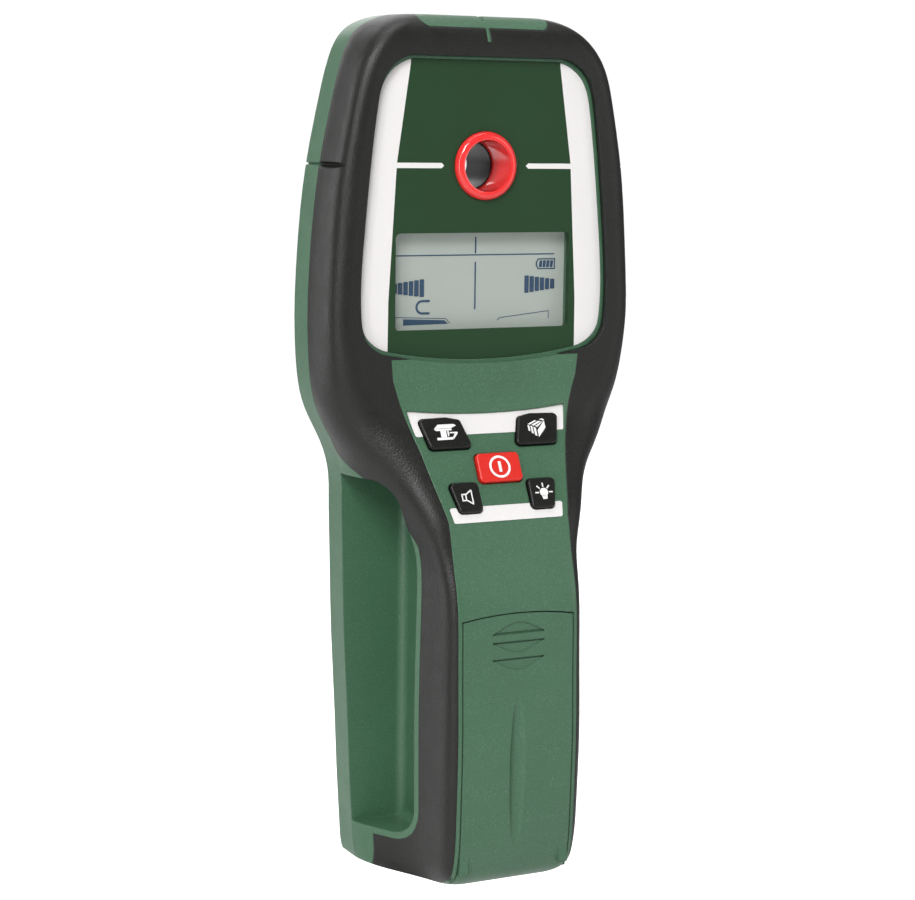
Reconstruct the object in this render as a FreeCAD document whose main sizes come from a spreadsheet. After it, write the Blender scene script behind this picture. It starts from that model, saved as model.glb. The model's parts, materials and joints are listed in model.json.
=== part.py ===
import FreeCAD, Part
import math
import os
import Sketcher

from FreeCAD import Placement, Rotation, Vector

# Stud finder (wall scanner), standing on the end of its handle.
# +Z up towards the scanning head, the display side faces -Y, the sole that
# slides on the wall faces +Y.  Origin: centre of the footprint, at the foot.

doc = FreeCAD.newDocument("stud_finder")
sheet = doc.addObject("Spreadsheet::Sheet", "sizes")

# ---------------------------------------------------------------- sizes, mm
SIZES = (
    ("total_height", 217.0),
    ("head_half", 42.2),
    ("flange_half", 31.5),
    ("grip_half", 19.4),
    ("web_half", 14.5),
    ("sole_y", 22.5),
    ("rim_y", 14.0),
    ("skin", 2.2),
    ("wall", 1.8),
    ("web_wall", 1.1),
    ("cavity_drop", 4.5),
    ("edge_chamfer", 0.8),
    ("cover_thick", 2.0),
    ("cover_inset", 1.8),
    ("fit_gap", 0.1),
    ("pad_proud", 0.5),
    ("pad_long", 24.0),
    ("pad_wide", 6.0),
    ("pad_sunk", 0.8),
    # marking bore, measured from the top of the head
    ("bore_drop", 37.0),
    ("bore_radius", 6.0),
    ("bore_wall", 1.6),
    ("ring_over", 1.0),
    ("ring_tube", 1.55),
    ("ring_bore", 6.5),
    ("guide_end", 9.0),
    # facia, measured from the bore centre
    ("facia_thick", 1.5),
    ("facia_drop", 49.3),
    ("facia_rise", 26.9),
    ("frame_line", 0.8),
    ("bezel_proud", 2.3),
    ("label_half_top", 20.9),
    ("label_half_mid", 24.4),
    ("label_half_low", 26.4),
    ("label_drop", 48.0),
    ("label_rise", 25.9),
    ("pointer_tip", 11.5),
    ("pointer_half", 0.66),
    ("shelf_thick", 2.0),
    # display
    ("window_top", 16.8),
    ("window_low", 40.8),
    ("window_half", 24.4),
    ("window_thick", 1.2),
    ("window_radius", 1.2),
    ("glass_half", 27.0),
    ("glass_border", 2.0),
    ("glass_thick", 1.8),
    ("light_thick", 2.4),
    # ramp with the keypad, measured from the bore centre
    ("ramp_drop", 80.0),
    ("ramp_depth", 12.14),
    ("ramp_tilt", 27.9),
    ("panel_half_top", 26.4),
    ("panel_half_mid", 20.6),
    ("panel_half_low", 16.8),
    ("key_proud", 1.1),
    ("key_gap", 0.25),
    ("key_flange", 0.8),
    ("key_travel", 0.8),
    ("key_depth", 3.4),
    ("inlay_thick", 0.9),
    ("keypad_board_thick", 1.2),
    ("switch_height", 1.3),
    ("switch_size", 4.5),
    # battery bay and door
    ("door_drop", 110.0),
    ("door_half", 15.4),
    ("door_thick", 2.0),
    ("door_gap", 0.3),
    ("door_arch", 1.3),
    ("mark_deep", 0.35),
    ("door_back", 5.0),
    ("rail_wide", 0.9),
    ("rail_thick", 1.0),
    ("latch_half", 4.0),
    ("latch_long", 2.6),
    ("strip_half", 16.7),
    ("battery_wide", 26.2),
    ("battery_deep", 17.2),
    ("battery_tall", 48.5),
    ("battery_floor", 12.0),
    ("battery_gap", 0.2),
    ("ledge_y", 17.6),
    ("pad_foam", 1.2),
    # finger recesses in the sides of the handle
    ("recess_foot", 10.0),
    ("recess_drop", 78.0),
    ("recess_front", 6.0),
    ("recess_radius", 7.5),
    ("recess_soft", 2.5),
    # boards and sensors
    ("board_y", 9.2),
    ("board_thick", 1.6),
    ("board_half", 28.5),
    ("board_rise", 14.0),
    ("board_drop", 58.0),
    ("board_clear", 0.5),
    ("post_x", 24.0),
    ("post_rise", 10.5),
    ("post_drop", 54.5),
    ("post_radius", 2.4),
    ("post_hole", 1.05),
    ("spacer_hole", 1.2),
    ("sensor_board_y", 18.0),
    ("sensor_board_thick", 1.0),
    ("sensor_half", 27.0),
    ("plate_thick", 0.4),
    ("plate_inner", 9.5),
    ("plate_outer", 25.0),
    ("coil_radius", 12.5),
    ("coil_wire", 1.3),
    ("coil_y", 14.2),
    ("chip_size", 10.0),
    ("chip_thick", 1.6),
    ("buzzer_radius", 6.0),
    ("buzzer_tall", 4.6),
    ("led_radius", 1.1),
    ("led_tall", 1.6),
    ("led_out", 2.7),
    ("stud_radius", 2.9),
    ("socket_radius", 4.1),
    ("terminal_x", 6.35),
    ("terminal_tall", 2.3),
    ("clip_tall", 3.4),
    ("screw_radius", 1.5),
    ("screw_head", 2.8),
    ("screw_long", 9.0),
    ("boss_wall", 1.6),
    ("notch_deep", 1.6),
    ("notch_half", 1.3),
)

# Cross-sections of the outer body, from the foot up.  Columns: name, height
# datum, height above it, front y, and half-widths as offsets from a master
# half-width: crest (front edge), belly (side) with its y, and back edge.
SECTIONS = (
    ("foot", "foot", 0.0, -16.7, "grip", -8.4, -1.2, -10.0, "flange", -3.6),
    ("heel", "foot", 2.2, -19.6, "grip", -6.2, -0.7, -11.0, "flange", -3.0),
    ("shin", "foot", 7.0, -21.6, "grip", -5.0, -0.2, -12.0, "flange", -2.6),
    ("calf", "foot", 20.0, -22.6, "grip", -4.4, 0.1, -13.0, "flange", -1.8),
    ("palm", "foot", 38.0, -23.0, "grip", -4.2, 0.2, -13.5, "flange", -1.0),
    ("thumb", "bore", -121.0, -22.4, "grip", -4.2, 0.0, -13.5, "flange", 0.1),
    ("collar", "bore", -104.0, -20.9, "grip", -3.9, 0.0, -12.5, "flange", 0.6),
    ("sweep", "bore", -95.5, -18.2, "grip", -3.2, 1.0, -10.5, "flange", 0.8),
    ("nape", "bore", -87.6, -16.16, "grip", -2.2, 4.1, -8.0, "flange", 1.0),
    ("throat", "bore", -78.4, -11.29, "head", -23.2, -14.4, -4.0, "head", -9.4),
    ("chin", "bore", -70.3, -7.0, "head", -21.0, -8.4, 0.0, "head", -7.0),
    ("jaw", "bore", -64.0, -3.9, "head", -17.0, -4.6, 2.5, "head", -3.8),
    ("lip", "bore", -58.0, -2.4, "head", -11.0, -1.7, 4.0, "head", -1.6),
    ("cheek", "bore", -48.0, -2.3, "head", -6.5, 0.1, 5.0, "head", -0.3),
    ("brow", "bore", -38.0, -2.3, "head", -4.6, 0.5, 5.0, "head", 0.0),
    ("temple", "bore", -24.0, -2.3, "head", -5.2, 0.1, 5.0, "head", -0.5),
    ("axis", "bore", 0.0, -2.3, "head", -7.1, -2.2, 5.0, "head", -3.0),
    ("shoulder", "bore", 15.4, -2.3, "head", -9.6, -5.2, 5.0, "head", -6.1),
    ("corner", "bore", 26.6, -2.0, "head", -13.4, -8.3, 5.0, "head", -9.0),
    ("crown", "bore", 31.6, -1.0, "head", -17.0, -11.8, 5.5, "head", -11.4),
    ("brim", "bore", 34.9, 1.0, "head", -21.4, -16.0, 6.5, "head", -15.2),
    ("top", "bore", 37.0, 4.6, "head", -28.0, -22.6, 8.5, "head", -21.4),
)

row = 1
for name, value in SIZES:
    sheet.set("A%d" % row, name)
    sheet.set("B%d" % row, "%g" % value)
    sheet.setAlias("B%d" % row, name)
    row += 1
COLUMNS = ("rise", "front", "crest", "belly", "belly_y", "back")
for entry in SECTIONS:
    numbers = (entry[2], entry[3], entry[5], entry[6], entry[7], entry[9])
    for column, value in zip(COLUMNS, numbers):
        alias = "%s_%s" % (entry[0], column)
        sheet.set("A%d" % row, alias)
        sheet.set("B%d" % row, "%g" % value)
        sheet.setAlias("B%d" % row, alias)
        row += 1
doc.recompute()


def size(alias):
    """Value of one cell of the sheet, in millimetres or degrees."""
    return float(sheet.get(alias))


# ------------------------------------------------------------ derived datums
TOP = size("total_height")
BORE_Z = TOP - size("bore_drop")
RIM_Y = size("rim_y")
SOLE_Y = size("sole_y")
COVER_Y = SOLE_Y - size("cover_thick")
DOOR_TOP = BORE_Z - size("door_drop")
RAMP_Z = BORE_Z - size("ramp_drop")
RECESS_TOP = BORE_Z - size("recess_drop")
FACIA_LOW = BORE_Z - size("facia_drop")
BAY_HALF = size("web_half") - size("web_wall")
RING_RADIUS = size("bore_radius") + size("ring_over")
BAY_BACK = -size("ledge_y") + size("battery_deep") + size("pad_foam") + 2 * size("battery_gap")
FAR = 60.0

TILT = math.radians(size("ramp_tilt"))
RAMP_POINT = Vector(0, -size("ramp_depth"), RAMP_Z)
RAMP_UP = Vector(0, math.sin(TILT), math.cos(TILT))
RAMP_OUT = Vector(0, -math.cos(TILT), math.sin(TILT))
RAMP_FRAME = Placement(RAMP_POINT, Rotation(Vector(1, 0, 0), RAMP_UP, RAMP_OUT, "ZXY"))


# ------------------------------------------------------------------- helpers
def section_values(entry, inset):
    """Height, front y and half-widths of one body section, inset all round."""
    name, datum, _, _, front_master, _, _, _, back_master, _ = entry
    height = size(name + "_rise")
    if datum == "bore":
        height += BORE_Z
    height = inset + height * (TOP - 2 * inset) / TOP
    front_half = size("grip_half") if front_master == "grip" else size("head_half")
    back_half = size("flange_half") if back_master == "flange" else size("head_half")
    return (
        height,
        size(name + "_front") + inset,
        front_half + size(name + "_crest") - inset,
        front_half + size(name + "_belly") - inset,
        size(name + "_belly_y"),
        back_half + size(name + "_back") - inset,
    )


def body_section(entry, inset, back_y):
    """Closed section of the body at one height: flat back, straight rim, rounded side, flat front."""
    height, front, crest, belly, belly_y, back = section_values(entry, inset)
    right = Part.BSplineCurve()
    points = [Vector(back, RIM_Y, height), Vector(belly, belly_y, height), Vector(crest, front, height)]
    tangents = [Vector(0, -1, 0), Vector(0, -1, 0), Vector(-1, 0, 0)]
    right.interpolate(Points=points, Tangents=tangents, TangentFlags=[False, False, True])
    right_edge = right.toShape()
    right_rim = Part.LineSegment(Vector(back, back_y, height), points[0]).toShape()
    middle = Vector(0, 0, 0)
    left_edge = right_edge.mirror(middle, Vector(1, 0, 0))
    left_rim = right_rim.mirror(middle, Vector(1, 0, 0))
    front_edge = Part.LineSegment(points[2], Vector(-crest, front, height)).toShape()
    back_edge = Part.LineSegment(Vector(-back, back_y, height), Vector(back, back_y, height)).toShape()
    edges = [back_edge, right_rim, right_edge, front_edge, left_edge, left_rim]
    return Part.Wire(Part.__sortEdges__(edges))


def body_loft(inset, back_y):
    """Body in front of the plane y = back_y, lofted through its sections."""
    solid = Part.makeLoft([body_section(entry, inset, back_y) for entry in SECTIONS], True, False)
    if solid.Volume < 0:
        solid.reverse()
    return solid


def outline_points(inset):
    """Right half of the back outline, from the foot to the top."""
    points = []
    for entry in SECTIONS:
        height, _, _, _, _, back = section_values(entry, inset)
        points.append((back, height))
    return points


def symmetric_face(points, low, high):
    """Face in the x-z plane bounded by a half outline and its mirror image."""
    right = Part.BSplineCurve()
    right.interpolate([Vector(x, 0, z) for x, z in points])
    right_edge = right.toShape()
    left_edge = right_edge.mirror(Vector(0, 0, 0), Vector(1, 0, 0))
    ends = []
    for (x, z), middle in ((points[0], low), (points[-1], high)):
        if abs(middle - z) < 0.01:
            ends.append(Part.LineSegment(Vector(-x, 0, z), Vector(x, 0, z)).toShape())
        else:
            arc = Part.Arc(Vector(-x, 0, z), Vector(0, 0, middle), Vector(x, 0, z))
            ends.append(arc.toShape())
    wire = Part.Wire(Part.__sortEdges__([right_edge, left_edge] + ends))
    return Part.Face(wire)


def plate(face, start, stop):
    """Plate of a face in the x-z plane, from y = start to y = stop."""
    solid = face.copy()
    solid.translate(Vector(0, start, 0))
    return solid.extrude(Vector(0, stop - start, 0))


def box(x_low, x_high, y_low, y_high, z_low, z_high):
    """Block between two corners."""
    return Part.makeBox(x_high - x_low, y_high - y_low, z_high - z_low, Vector(x_low, y_low, z_low))


def polygon_face(points):
    """Flat face through a closed list of corners."""
    vectors = [Vector(*point) for point in points]
    return Part.Face(Part.makePolygon(vectors + [vectors[0]]))


def tube(outer, inner, start, stop):
    """Tube about the marking bore's axis, from y = start to y = stop."""
    centre = Vector(0, start, BORE_Z)
    solid = Part.makeCylinder(outer, stop - start, centre, Vector(0, 1, 0))
    if inner > 0:
        solid = solid.cut(Part.makeCylinder(inner, stop - start, centre, Vector(0, 1, 0)))
    return solid


def rounded_plate(half, low, high, radius, start, stop):
    """Plate with rounded corners, between two heights."""
    solid = box(-half, half, start, stop, low, high)
    edges = [edge for edge in solid.Edges if abs(edge.Vertexes[0].Y - edge.Vertexes[1].Y) > 0.01]
    return solid.makeFillet(radius, edges)


def feature(label, shape):
    """Document object that holds a shape made from the sheet's values."""
    item = doc.addObject("Part::Feature", label)
    item.Label = label
    item.Shape = shape
    return item


# -------------------------------------------------------------- outer shells
# The body is one lofted envelope with a straight rim at its back.  A skin
# over its sides is the soft grip; what is under it, with the rim and the
# centre panel, is the hard housing.
envelope = body_loft(0.0, SOLE_Y)
core = body_loft(size("skin"), SOLE_Y + 2.0)

# Side view of the soft grip: all of the head, a band along the handle's
# front, and the corners of the foot.
lip = 1.8
band_y = -size("recess_front") - lip
turn_y = -size("recess_front") + size("recess_radius")
turn_z = size("recess_foot") + size("recess_radius")
turn_radius = size("recess_radius") + lip
grip_points = [
    Vector(-FAR, -FAR, -1), Vector(-FAR, 7.0, -1), Vector(-FAR, 7.0, turn_z - turn_radius),
]
for step in range(7):
    angle = math.radians(270.0 - 15.0 * step)
    grip_points.append(Vector(-FAR, turn_y + turn_radius * math.cos(angle),
                              turn_z + turn_radius * math.sin(angle)))
grip_points += [
    Vector(-FAR, band_y, RECESS_TOP - 16.0),
    Vector(-FAR, -3.0, RECESS_TOP - 7.0), Vector(-FAR, 4.0, RECESS_TOP + 0.5),
    Vector(-FAR, RIM_Y - 1.0, RECESS_TOP + 6.0), Vector(-FAR, RIM_Y, RECESS_TOP + 12.0),
    Vector(-FAR, RIM_Y, TOP + 1), Vector(-FAR, -FAR, TOP + 1), Vector(-FAR, -FAR, -1),
]
grip_side = Part.Face(Part.makePolygon(grip_points))
grip_zone = grip_side.extrude(Vector(2 * FAR, 0, 0))

# Centre panel: full width below the display, narrowing down the ramp to the
# strip beside the battery door.
panel_points = [
    (size("strip_half"), -1.0), (size("strip_half"), DOOR_TOP + 14.0),
    (size("panel_half_low"), RAMP_Z - 7.0), (size("panel_half_mid"), RAMP_Z + 9.6),
    (size("panel_half_top") - 0.5, RAMP_Z + 27.0), (size("panel_half_top"), FACIA_LOW + 1.5),
]
panel_corners = [(x, -FAR, z) for x, z in panel_points]
panel_corners += [(-x, -FAR, z) for x, z in reversed(panel_points)]
panel_zone = polygon_face(panel_corners).extrude(Vector(0, FAR + RIM_Y, 0))

# Facia pocket in the head, with its thin frame line left in the housing.
FRAME_POINTS = (
    (27.7, 2.6), (31.4, 4.4), (33.5, 6.8), (34.6, 11.6), (34.0, 32.3), (32.4, 49.3),
    (30.6, 63.8), (28.2, 71.6), (24.8, 74.8), (21.0, 76.2),
)


def frame_outline(inset):
    """Outline of the facia's frame line, inset all round."""
    shift = size("head_half") - 42.2
    height = size("facia_drop") + size("facia_rise")
    shrink = (height - 2 * inset) / height
    return [(x + shift - inset, FACIA_LOW + inset + z * shrink) for x, z in FRAME_POINTS]


frame_low = FACIA_LOW
frame_high = BORE_Z + size("facia_rise")
frame_zone = plate(symmetric_face(frame_outline(0.0), frame_low, frame_high), -FAR, RIM_Y)
pocket_face = symmetric_face(frame_outline(size("frame_line")), frame_low + size("frame_line"),
                             frame_high - size("frame_line"))
pocket = plate(pocket_face, -FAR, size("facia_thick"))
frame_relief = plate(symmetric_face(frame_outline(0.0), frame_low, frame_high), -FAR, -0.2)

# Top centre of the head, left in the hard housing between the grip corners.
top_zone = box(-18.0, 18.0, 0.2, RIM_Y + 5.0, BORE_Z + 32.0, TOP + 1)
top_corners = [
    edge for edge in top_zone.Edges
    if abs(edge.Vertexes[0].Z - edge.Vertexes[1].Z) > 1 and edge.Vertexes[0].Y < 1.0
]
top_zone = top_zone.makeFillet(2.5, top_corners).common(box(-FAR, FAR, -FAR, RIM_Y, 0, TOP + 2))

# V-notches at the top centre and on both sides, which mark the bore's axes.
notch_deep = size("notch_deep")
notch_half = size("notch_half")
notches = []
for sign in (-1, 1):
    edge = size("head_half") + size("axis_belly") + 1.0
    corners = [
        (sign * edge, -FAR, BORE_Z - notch_half), (sign * edge, -FAR, BORE_Z + notch_half),
        (sign * (edge - 1.0 - notch_deep), -FAR, BORE_Z),
    ]
    notches.append(polygon_face(corners).extrude(Vector(0, 2 * FAR, 0)))
top_notch = polygon_face([
    (-notch_half, -FAR, TOP + 1), (notch_half, -FAR, TOP + 1), (0, -FAR, TOP - notch_deep),
]).extrude(Vector(0, 2 * FAR, 0))
notches.append(top_notch)

# Finger recess: a rounded slot seen from the side, down to the web.
recess_profile = box(size("web_half"), FAR, -size("recess_front"), RIM_Y,
                     size("recess_foot"), RECESS_TOP)
recess_edges = [
    edge for edge in recess_profile.Edges
    if abs(edge.Vertexes[0].X - edge.Vertexes[1].X) > 1 and edge.Vertexes[0].Y < RIM_Y - 1
]
recess_right = recess_profile.makeFillet(size("recess_radius"), recess_edges)
web_edges = [edge for edge in recess_right.Edges if edge.BoundBox.XMax < size("web_half") + 0.01]
recess_right = recess_right.makeFillet(size("recess_soft"), web_edges)
recess_left = recess_right.mirror(Vector(0, 0, 0), Vector(1, 0, 0))

top_slit = box(-0.45, 0.45, -FAR, 0.2, TOP - 6.5, TOP + 1).cut(body_loft(0.8, SOLE_Y + 2.0))
grip_skin = envelope.cut(core).common(grip_zone).cut(top_slit)
for tool in [panel_zone, frame_zone, top_zone, recess_right, recess_left] + notches:
    grip_skin = grip_skin.cut(tool)
grip_parts = [solid for solid in grip_skin.Solids if solid.Volume > 20]
grip_solid = grip_parts[0] if len(grip_parts) == 1 else Part.makeCompound(grip_parts)

# ------------------------------------------------------------------- housing
outer = envelope
for tool in grip_parts + [recess_right, recess_left, pocket, frame_relief] + notches:
    outer = outer.cut(tool)

head_low = RECESS_TOP + 6.0
inside = size("skin") + size("wall")
cavity_high = TOP - inside - size("cavity_drop")
cavity_points = []
for entry in SECTIONS:
    height, _, _, _, _, back = section_values(entry, inside)
    if height > head_low + 6.0 and height < cavity_high - 1.5:
        cavity_points.append((back, height))
cavity_points.insert(0, (BAY_HALF + 2.0, head_low))
cavity_points.append((cavity_points[-1][0] - 3.0, cavity_high))
shelf_y = size("facia_thick") + size("shelf_thick")
head_cavity = plate(symmetric_face(cavity_points, head_low, cavity_high), shelf_y, SOLE_Y + 1)
handle_cavity = box(-BAY_HALF, BAY_HALF, BAY_BACK + 1.4, SOLE_Y + 1, size("recess_foot"), head_low + 1.0)

# Space behind the ramp: deep between the webs, shallow under the keys.
RAMP_ROOMS = (
    (BAY_HALF, -8.0, 21.0, -14.2, -2.2),
    (21.6, 10.0, 21.0, -8.5, -2.2),
    (16.6, -7.4, 10.2, -5.3, -2.2),
)
ramp_cavity = None
for half, low, high, deep, shallow in RAMP_ROOMS:
    room = Part.makeBox(2 * half, high - low, shallow - deep, Vector(-half, low, deep))
    room.Placement = RAMP_FRAME.multiply(room.Placement)
    ramp_cavity = room if ramp_cavity is None else ramp_cavity.fuse(room)

# Battery bay, open at the front, and the seat of its door.
bay = box(-BAY_HALF, BAY_HALF, -FAR, BAY_BACK, size("battery_floor") - 2.0, DOOR_TOP - 1.5)


def door_prism(grow):
    """Door outline with rounded, arched top, grown all round by a margin."""
    half = size("door_half") + grow
    top = DOOR_TOP + grow
    prism = box(-half, half, -FAR, -size("ledge_y"), -1, top)
    corners = [
        edge for edge in prism.Edges
        if abs(edge.Vertexes[0].Y - edge.Vertexes[1].Y) > 1 and edge.Vertexes[0].Z > top - 0.1
    ]
    prism = prism.makeFillet(1.6, corners)
    arch = size("door_arch")
    radius = (half * half + arch * arch) / (2 * arch)
    disc = Part.makeCylinder(radius, 2 * FAR, Vector(0, -FAR, top - radius), Vector(0, 1, 0))
    disc = disc.common(box(-half, half, -FAR, -size("ledge_y"), top - 8.0, top + 1.0))
    return prism.common(disc.fuse(box(-half, half, -FAR, -size("ledge_y"), -1, top - 7.0)))


door_zone = door_prism(0.0)
door_seat = door_prism(size("door_gap"))
heel_zone = box(-size("door_half"), size("door_half"), -FAR, -size("door_back"), -1,
                size("door_thick"))
heel_seat = box(-size("door_half") - size("door_gap"), size("door_half") + size("door_gap"),
                -FAR, -size("door_back") + size("door_gap"), -1,
                size("door_thick") + size("door_gap"))
rail_y = -size("ledge_y") - 1.4
rail_seat = box(-size("door_half") - size("rail_wide") - size("door_gap"),
                size("door_half") + size("rail_wide") + size("door_gap"),
                rail_y - size("door_gap"), rail_y + size("rail_thick") + size("door_gap"),
                -1, DOOR_TOP - 6.0)
latch_seat = box(-size("latch_half") - size("door_gap"), size("latch_half") + size("door_gap"),
                 rail_y - size("door_gap"), rail_y + size("rail_thick") + size("door_gap"),
                 DOOR_TOP - 1, DOOR_TOP + size("latch_long") + size("door_gap"))

cover_points = outline_points(size("cover_inset"))
cover_face = symmetric_face(cover_points, size("cover_inset"), TOP - size("cover_inset"))
seat_gap = size("fit_gap")
seat_points = [(x + seat_gap, z) for x, z in cover_points]
seat_points[0] = (seat_points[0][0], size("cover_inset") - seat_gap)
seat_points[-1] = (seat_points[-1][0], TOP - size("cover_inset") + seat_gap)
cover_seat = plate(symmetric_face(seat_points, size("cover_inset") - seat_gap,
                                  TOP - size("cover_inset") + seat_gap), COVER_Y, SOLE_Y + 1)

# Openings in the shelf: the light ring's tube and the display.
ring_hole = tube(size("bore_radius") + size("bore_wall") + 2 * size("fit_gap") + 0.4, 0.0, -FAR, SOLE_Y + 1)
window_low = BORE_Z - size("window_low")
window_high = BORE_Z - size("window_top")
window_hole = box(-size("window_half") - 0.6, size("window_half") + 0.6, -5.0, 8.0,
                  window_low - 0.6, window_high + 0.6)

for tool in (head_cavity, handle_cavity, ramp_cavity, bay, door_seat, heel_seat, rail_seat,
             latch_seat, cover_seat, ring_hole, window_hole):
    outer = outer.cut(tool)

# Screw bosses that stand in the cavity and take the cover's screws.
BOSS_SPOTS = []
for sign in (-1, 1):
    BOSS_SPOTS.append((sign * (size("head_half") - 13.0), TOP - 18.0))
    BOSS_SPOTS.append((sign * (size("head_half") - 9.5), BORE_Z - 42.0))
    BOSS_SPOTS.append((sign * (BAY_HALF - 3.4), size("recess_foot") + 5.0))
boss_radius = size("screw_radius") + size("boss_wall")
boss_tools = []
for x, z in BOSS_SPOTS:
    start = shelf_y - 0.5
    if z < RECESS_TOP:
        start = BAY_BACK + 0.9
    boss = Part.makeCylinder(boss_radius, COVER_Y - start, Vector(x, start, z), Vector(0, 1, 0))
    drill = Part.makeCylinder(size("screw_radius"), size("screw_long"),
                              Vector(x, COVER_Y - size("screw_long") + 1.0, z), Vector(0, 1, 0))
    outer = outer.fuse(boss)
    boss_tools.append(drill)
for drill in boss_tools:
    outer = outer.cut(drill)

# Posts behind the shelf that carry the boards.
POST_SPOTS = [(sign * size("post_x"), BORE_Z + rise) for sign in (-1, 1)
              for rise in (size("post_rise"), -size("post_drop"))]
for x, z in POST_SPOTS:
    post = Part.makeCylinder(size("post_radius"), size("board_y") - shelf_y + 0.5,
                             Vector(x, shelf_y - 0.5, z), Vector(0, 1, 0))
    drill = Part.makeCylinder(size("post_hole"), 5.0, Vector(x, size("board_y") - 4.5, z), Vector(0, 1, 0))
    outer = outer.fuse(post).cut(drill)

# --------------------------------------------------------------------- keypad
# Keys in the ramp's own frame: x across, y up the ramp, z out of it.
KEYS = (
    ("button_metal", [(-19.8, 19.2), (-17.8, 11.0), (-6.1, 11.0), (-8.3, 18.6), (-12.0, 19.4)]),
    ("button_drywall", [(19.8, 19.2), (17.8, 11.0), (6.1, 11.0), (8.3, 18.6), (12.0, 19.4)]),
    ("button_sound", [(-15.0, 1.9), (-13.3, -6.0), (-6.9, -6.0), (-7.0, 1.9)]),
    ("button_light", [(15.0, 1.9), (13.3, -6.0), (6.9, -6.0), (7.0, 1.9)]),
    ("button_power", [(-6.0, 9.3), (-6.0, 1.6), (6.0, 1.6), (6.0, 9.3)]),
)


def key_prism(corners, grow, low, high, radius):
    """Key-shaped prism in the ramp's frame, grown sideways by a margin."""
    face = polygon_face([(x, y, low) for x, y in corners])
    solid = face.extrude(Vector(0, 0, high - low))
    upright = [edge for edge in solid.Edges if abs(edge.Vertexes[0].Z - edge.Vertexes[1].Z) > 0.01]
    solid = solid.makeFillet(radius, upright)
    if grow > 0:
        wide = [f for f in solid.Faces if abs(f.normalAt(0, 0).z) > 0.99 and f.CenterOfMass.z < (low + high) / 2]
        wire = wide[0].OuterWire.makeOffset2D(grow)
        solid = Part.Face(wire).extrude(Vector(0, 0, high - low))
    return solid


key_solids = {}
key_holes = []
for name, corners in KEYS:
    radius = 1.2
    depth = size("key_depth")
    cap = key_prism(corners, 0.0, -depth, size("key_proud"), radius)
    top_edges = [edge for edge in cap.Edges if edge.BoundBox.ZMin > size("key_proud") - 0.01]
    cap = cap.makeFillet(0.5, top_edges)
    flange = key_prism(corners, size("key_flange"), -depth, -depth + 0.8, radius)
    key = cap.fuse(flange).removeSplitter()
    key.Placement = RAMP_FRAME
    key_solids[name] = key
    hole = key_prism(corners, size("key_gap"), -6.0, 4.0, radius)
    hole.Placement = RAMP_FRAME
    key_holes.append(hole)

INLAYS = (
    ("keypad_inlay_upper", [(-22.6, 22.2), (-20.9, 14.8), (20.9, 14.8), (22.6, 22.2)]),
    ("keypad_inlay_lower", [(-16.0, -4.3), (-15.2, -8.4), (15.2, -8.4), (16.0, -4.3)]),
)
sag_radius = 175.0
sag_low = 20.2
sag = Part.makeCylinder(sag_radius, 20.0, Vector(0, sag_low + sag_radius, -10.0), Vector(0, 0, 1))
inlay_solids = {}
for name, corners in INLAYS:
    base = key_prism(corners, 0.0, -size("inlay_thick"), 4.0, 0.6).cut(sag)
    base.Placement = RAMP_FRAME
    outer = outer.cut(base)
    solid = key_prism(corners, 0.0, -size("inlay_thick"), 0.12, 0.6).cut(sag)
    solid.Placement = RAMP_FRAME
    for hole in key_holes:
        solid = solid.cut(hole)
    inlay_solids[name] = solid
for hole in key_holes:
    outer = outer.cut(hole)
housing_parts = sorted(outer.Solids, key=lambda solid: solid.Volume)
housing_solid = housing_parts[-1]

# ---------------------------------------------------------------- other skins
door_shape = envelope.cut(body_loft(size("door_thick"), SOLE_Y + 2.0)).common(door_zone.fuse(heel_zone))
door_shape = sorted(door_shape.Solids, key=lambda solid: solid.Volume)[-1]
rails = box(-size("door_half") - size("rail_wide"), size("door_half") + size("rail_wide"),
            rail_y, rail_y + size("rail_thick"), size("door_thick"), DOOR_TOP - 7.0)
rails = rails.cut(box(-size("door_half") + 2.5, size("door_half") - 2.5, -FAR, FAR, -1, TOP))
latch = box(-size("latch_half"), size("latch_half"), rail_y, rail_y + size("rail_thick"),
            DOOR_TOP - 5.0, DOOR_TOP + size("latch_long"))
door_web = box(-size("latch_half"), size("latch_half"), -21.2, rail_y + 0.5, DOOR_TOP - 5.0,
               DOOR_TOP - 1.0)
rail_webs = []
for sign in (-1, 1):
    centre = sign * (size("door_half") - 1.3)
    rail_webs.append(box(centre - 1.2, centre + 1.2, -21.9, rail_y + 0.5, size("door_thick") + 2.0,
                         DOOR_TOP - 8.0))
door_fill = envelope.common(door_zone)
joined = rails.fuse(latch).fuse(door_web)
for web in rail_webs:
    joined = joined.fuse(web)
door_solid = door_shape.fuse(joined.common(box(-FAR, FAR, -FAR, -size("ledge_y"), 0, TOP)))

# Grip marks: three shallow pockets, the upper one peaked and the others bowed
# downwards, each with a deeper groove along its straight side.
mark_half = 7.25
mark_floor = body_loft(size("mark_deep"), SOLE_Y + 2.0)
mark_floor_low = body_loft(size("mark_deep") + 0.3, SOLE_Y + 2.0)
for rise, bow in ((-4.8, 2.7), (-7.1, -2.7), (-11.4, -2.8)):
    level = DOOR_TOP + rise
    line = box(-mark_half, mark_half, -FAR, -18.0, level - 0.22, level + 0.22).cut(mark_floor_low)
    outline = [
        (-mark_half, -FAR, level), (-0.45 * mark_half, -FAR, level + 0.72 * bow),
        (-0.18 * mark_half, -FAR, level + 0.97 * bow), (0.0, -FAR, level + bow),
        (0.18 * mark_half, -FAR, level + 0.97 * bow), (0.45 * mark_half, -FAR, level + 0.72 * bow),
        (mark_half, -FAR, level),
    ]
    mark = polygon_face(outline).extrude(Vector(0, FAR - 18.0, 0)).cut(mark_floor)
    door_solid = door_solid.cut(line).cut(mark)

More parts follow.
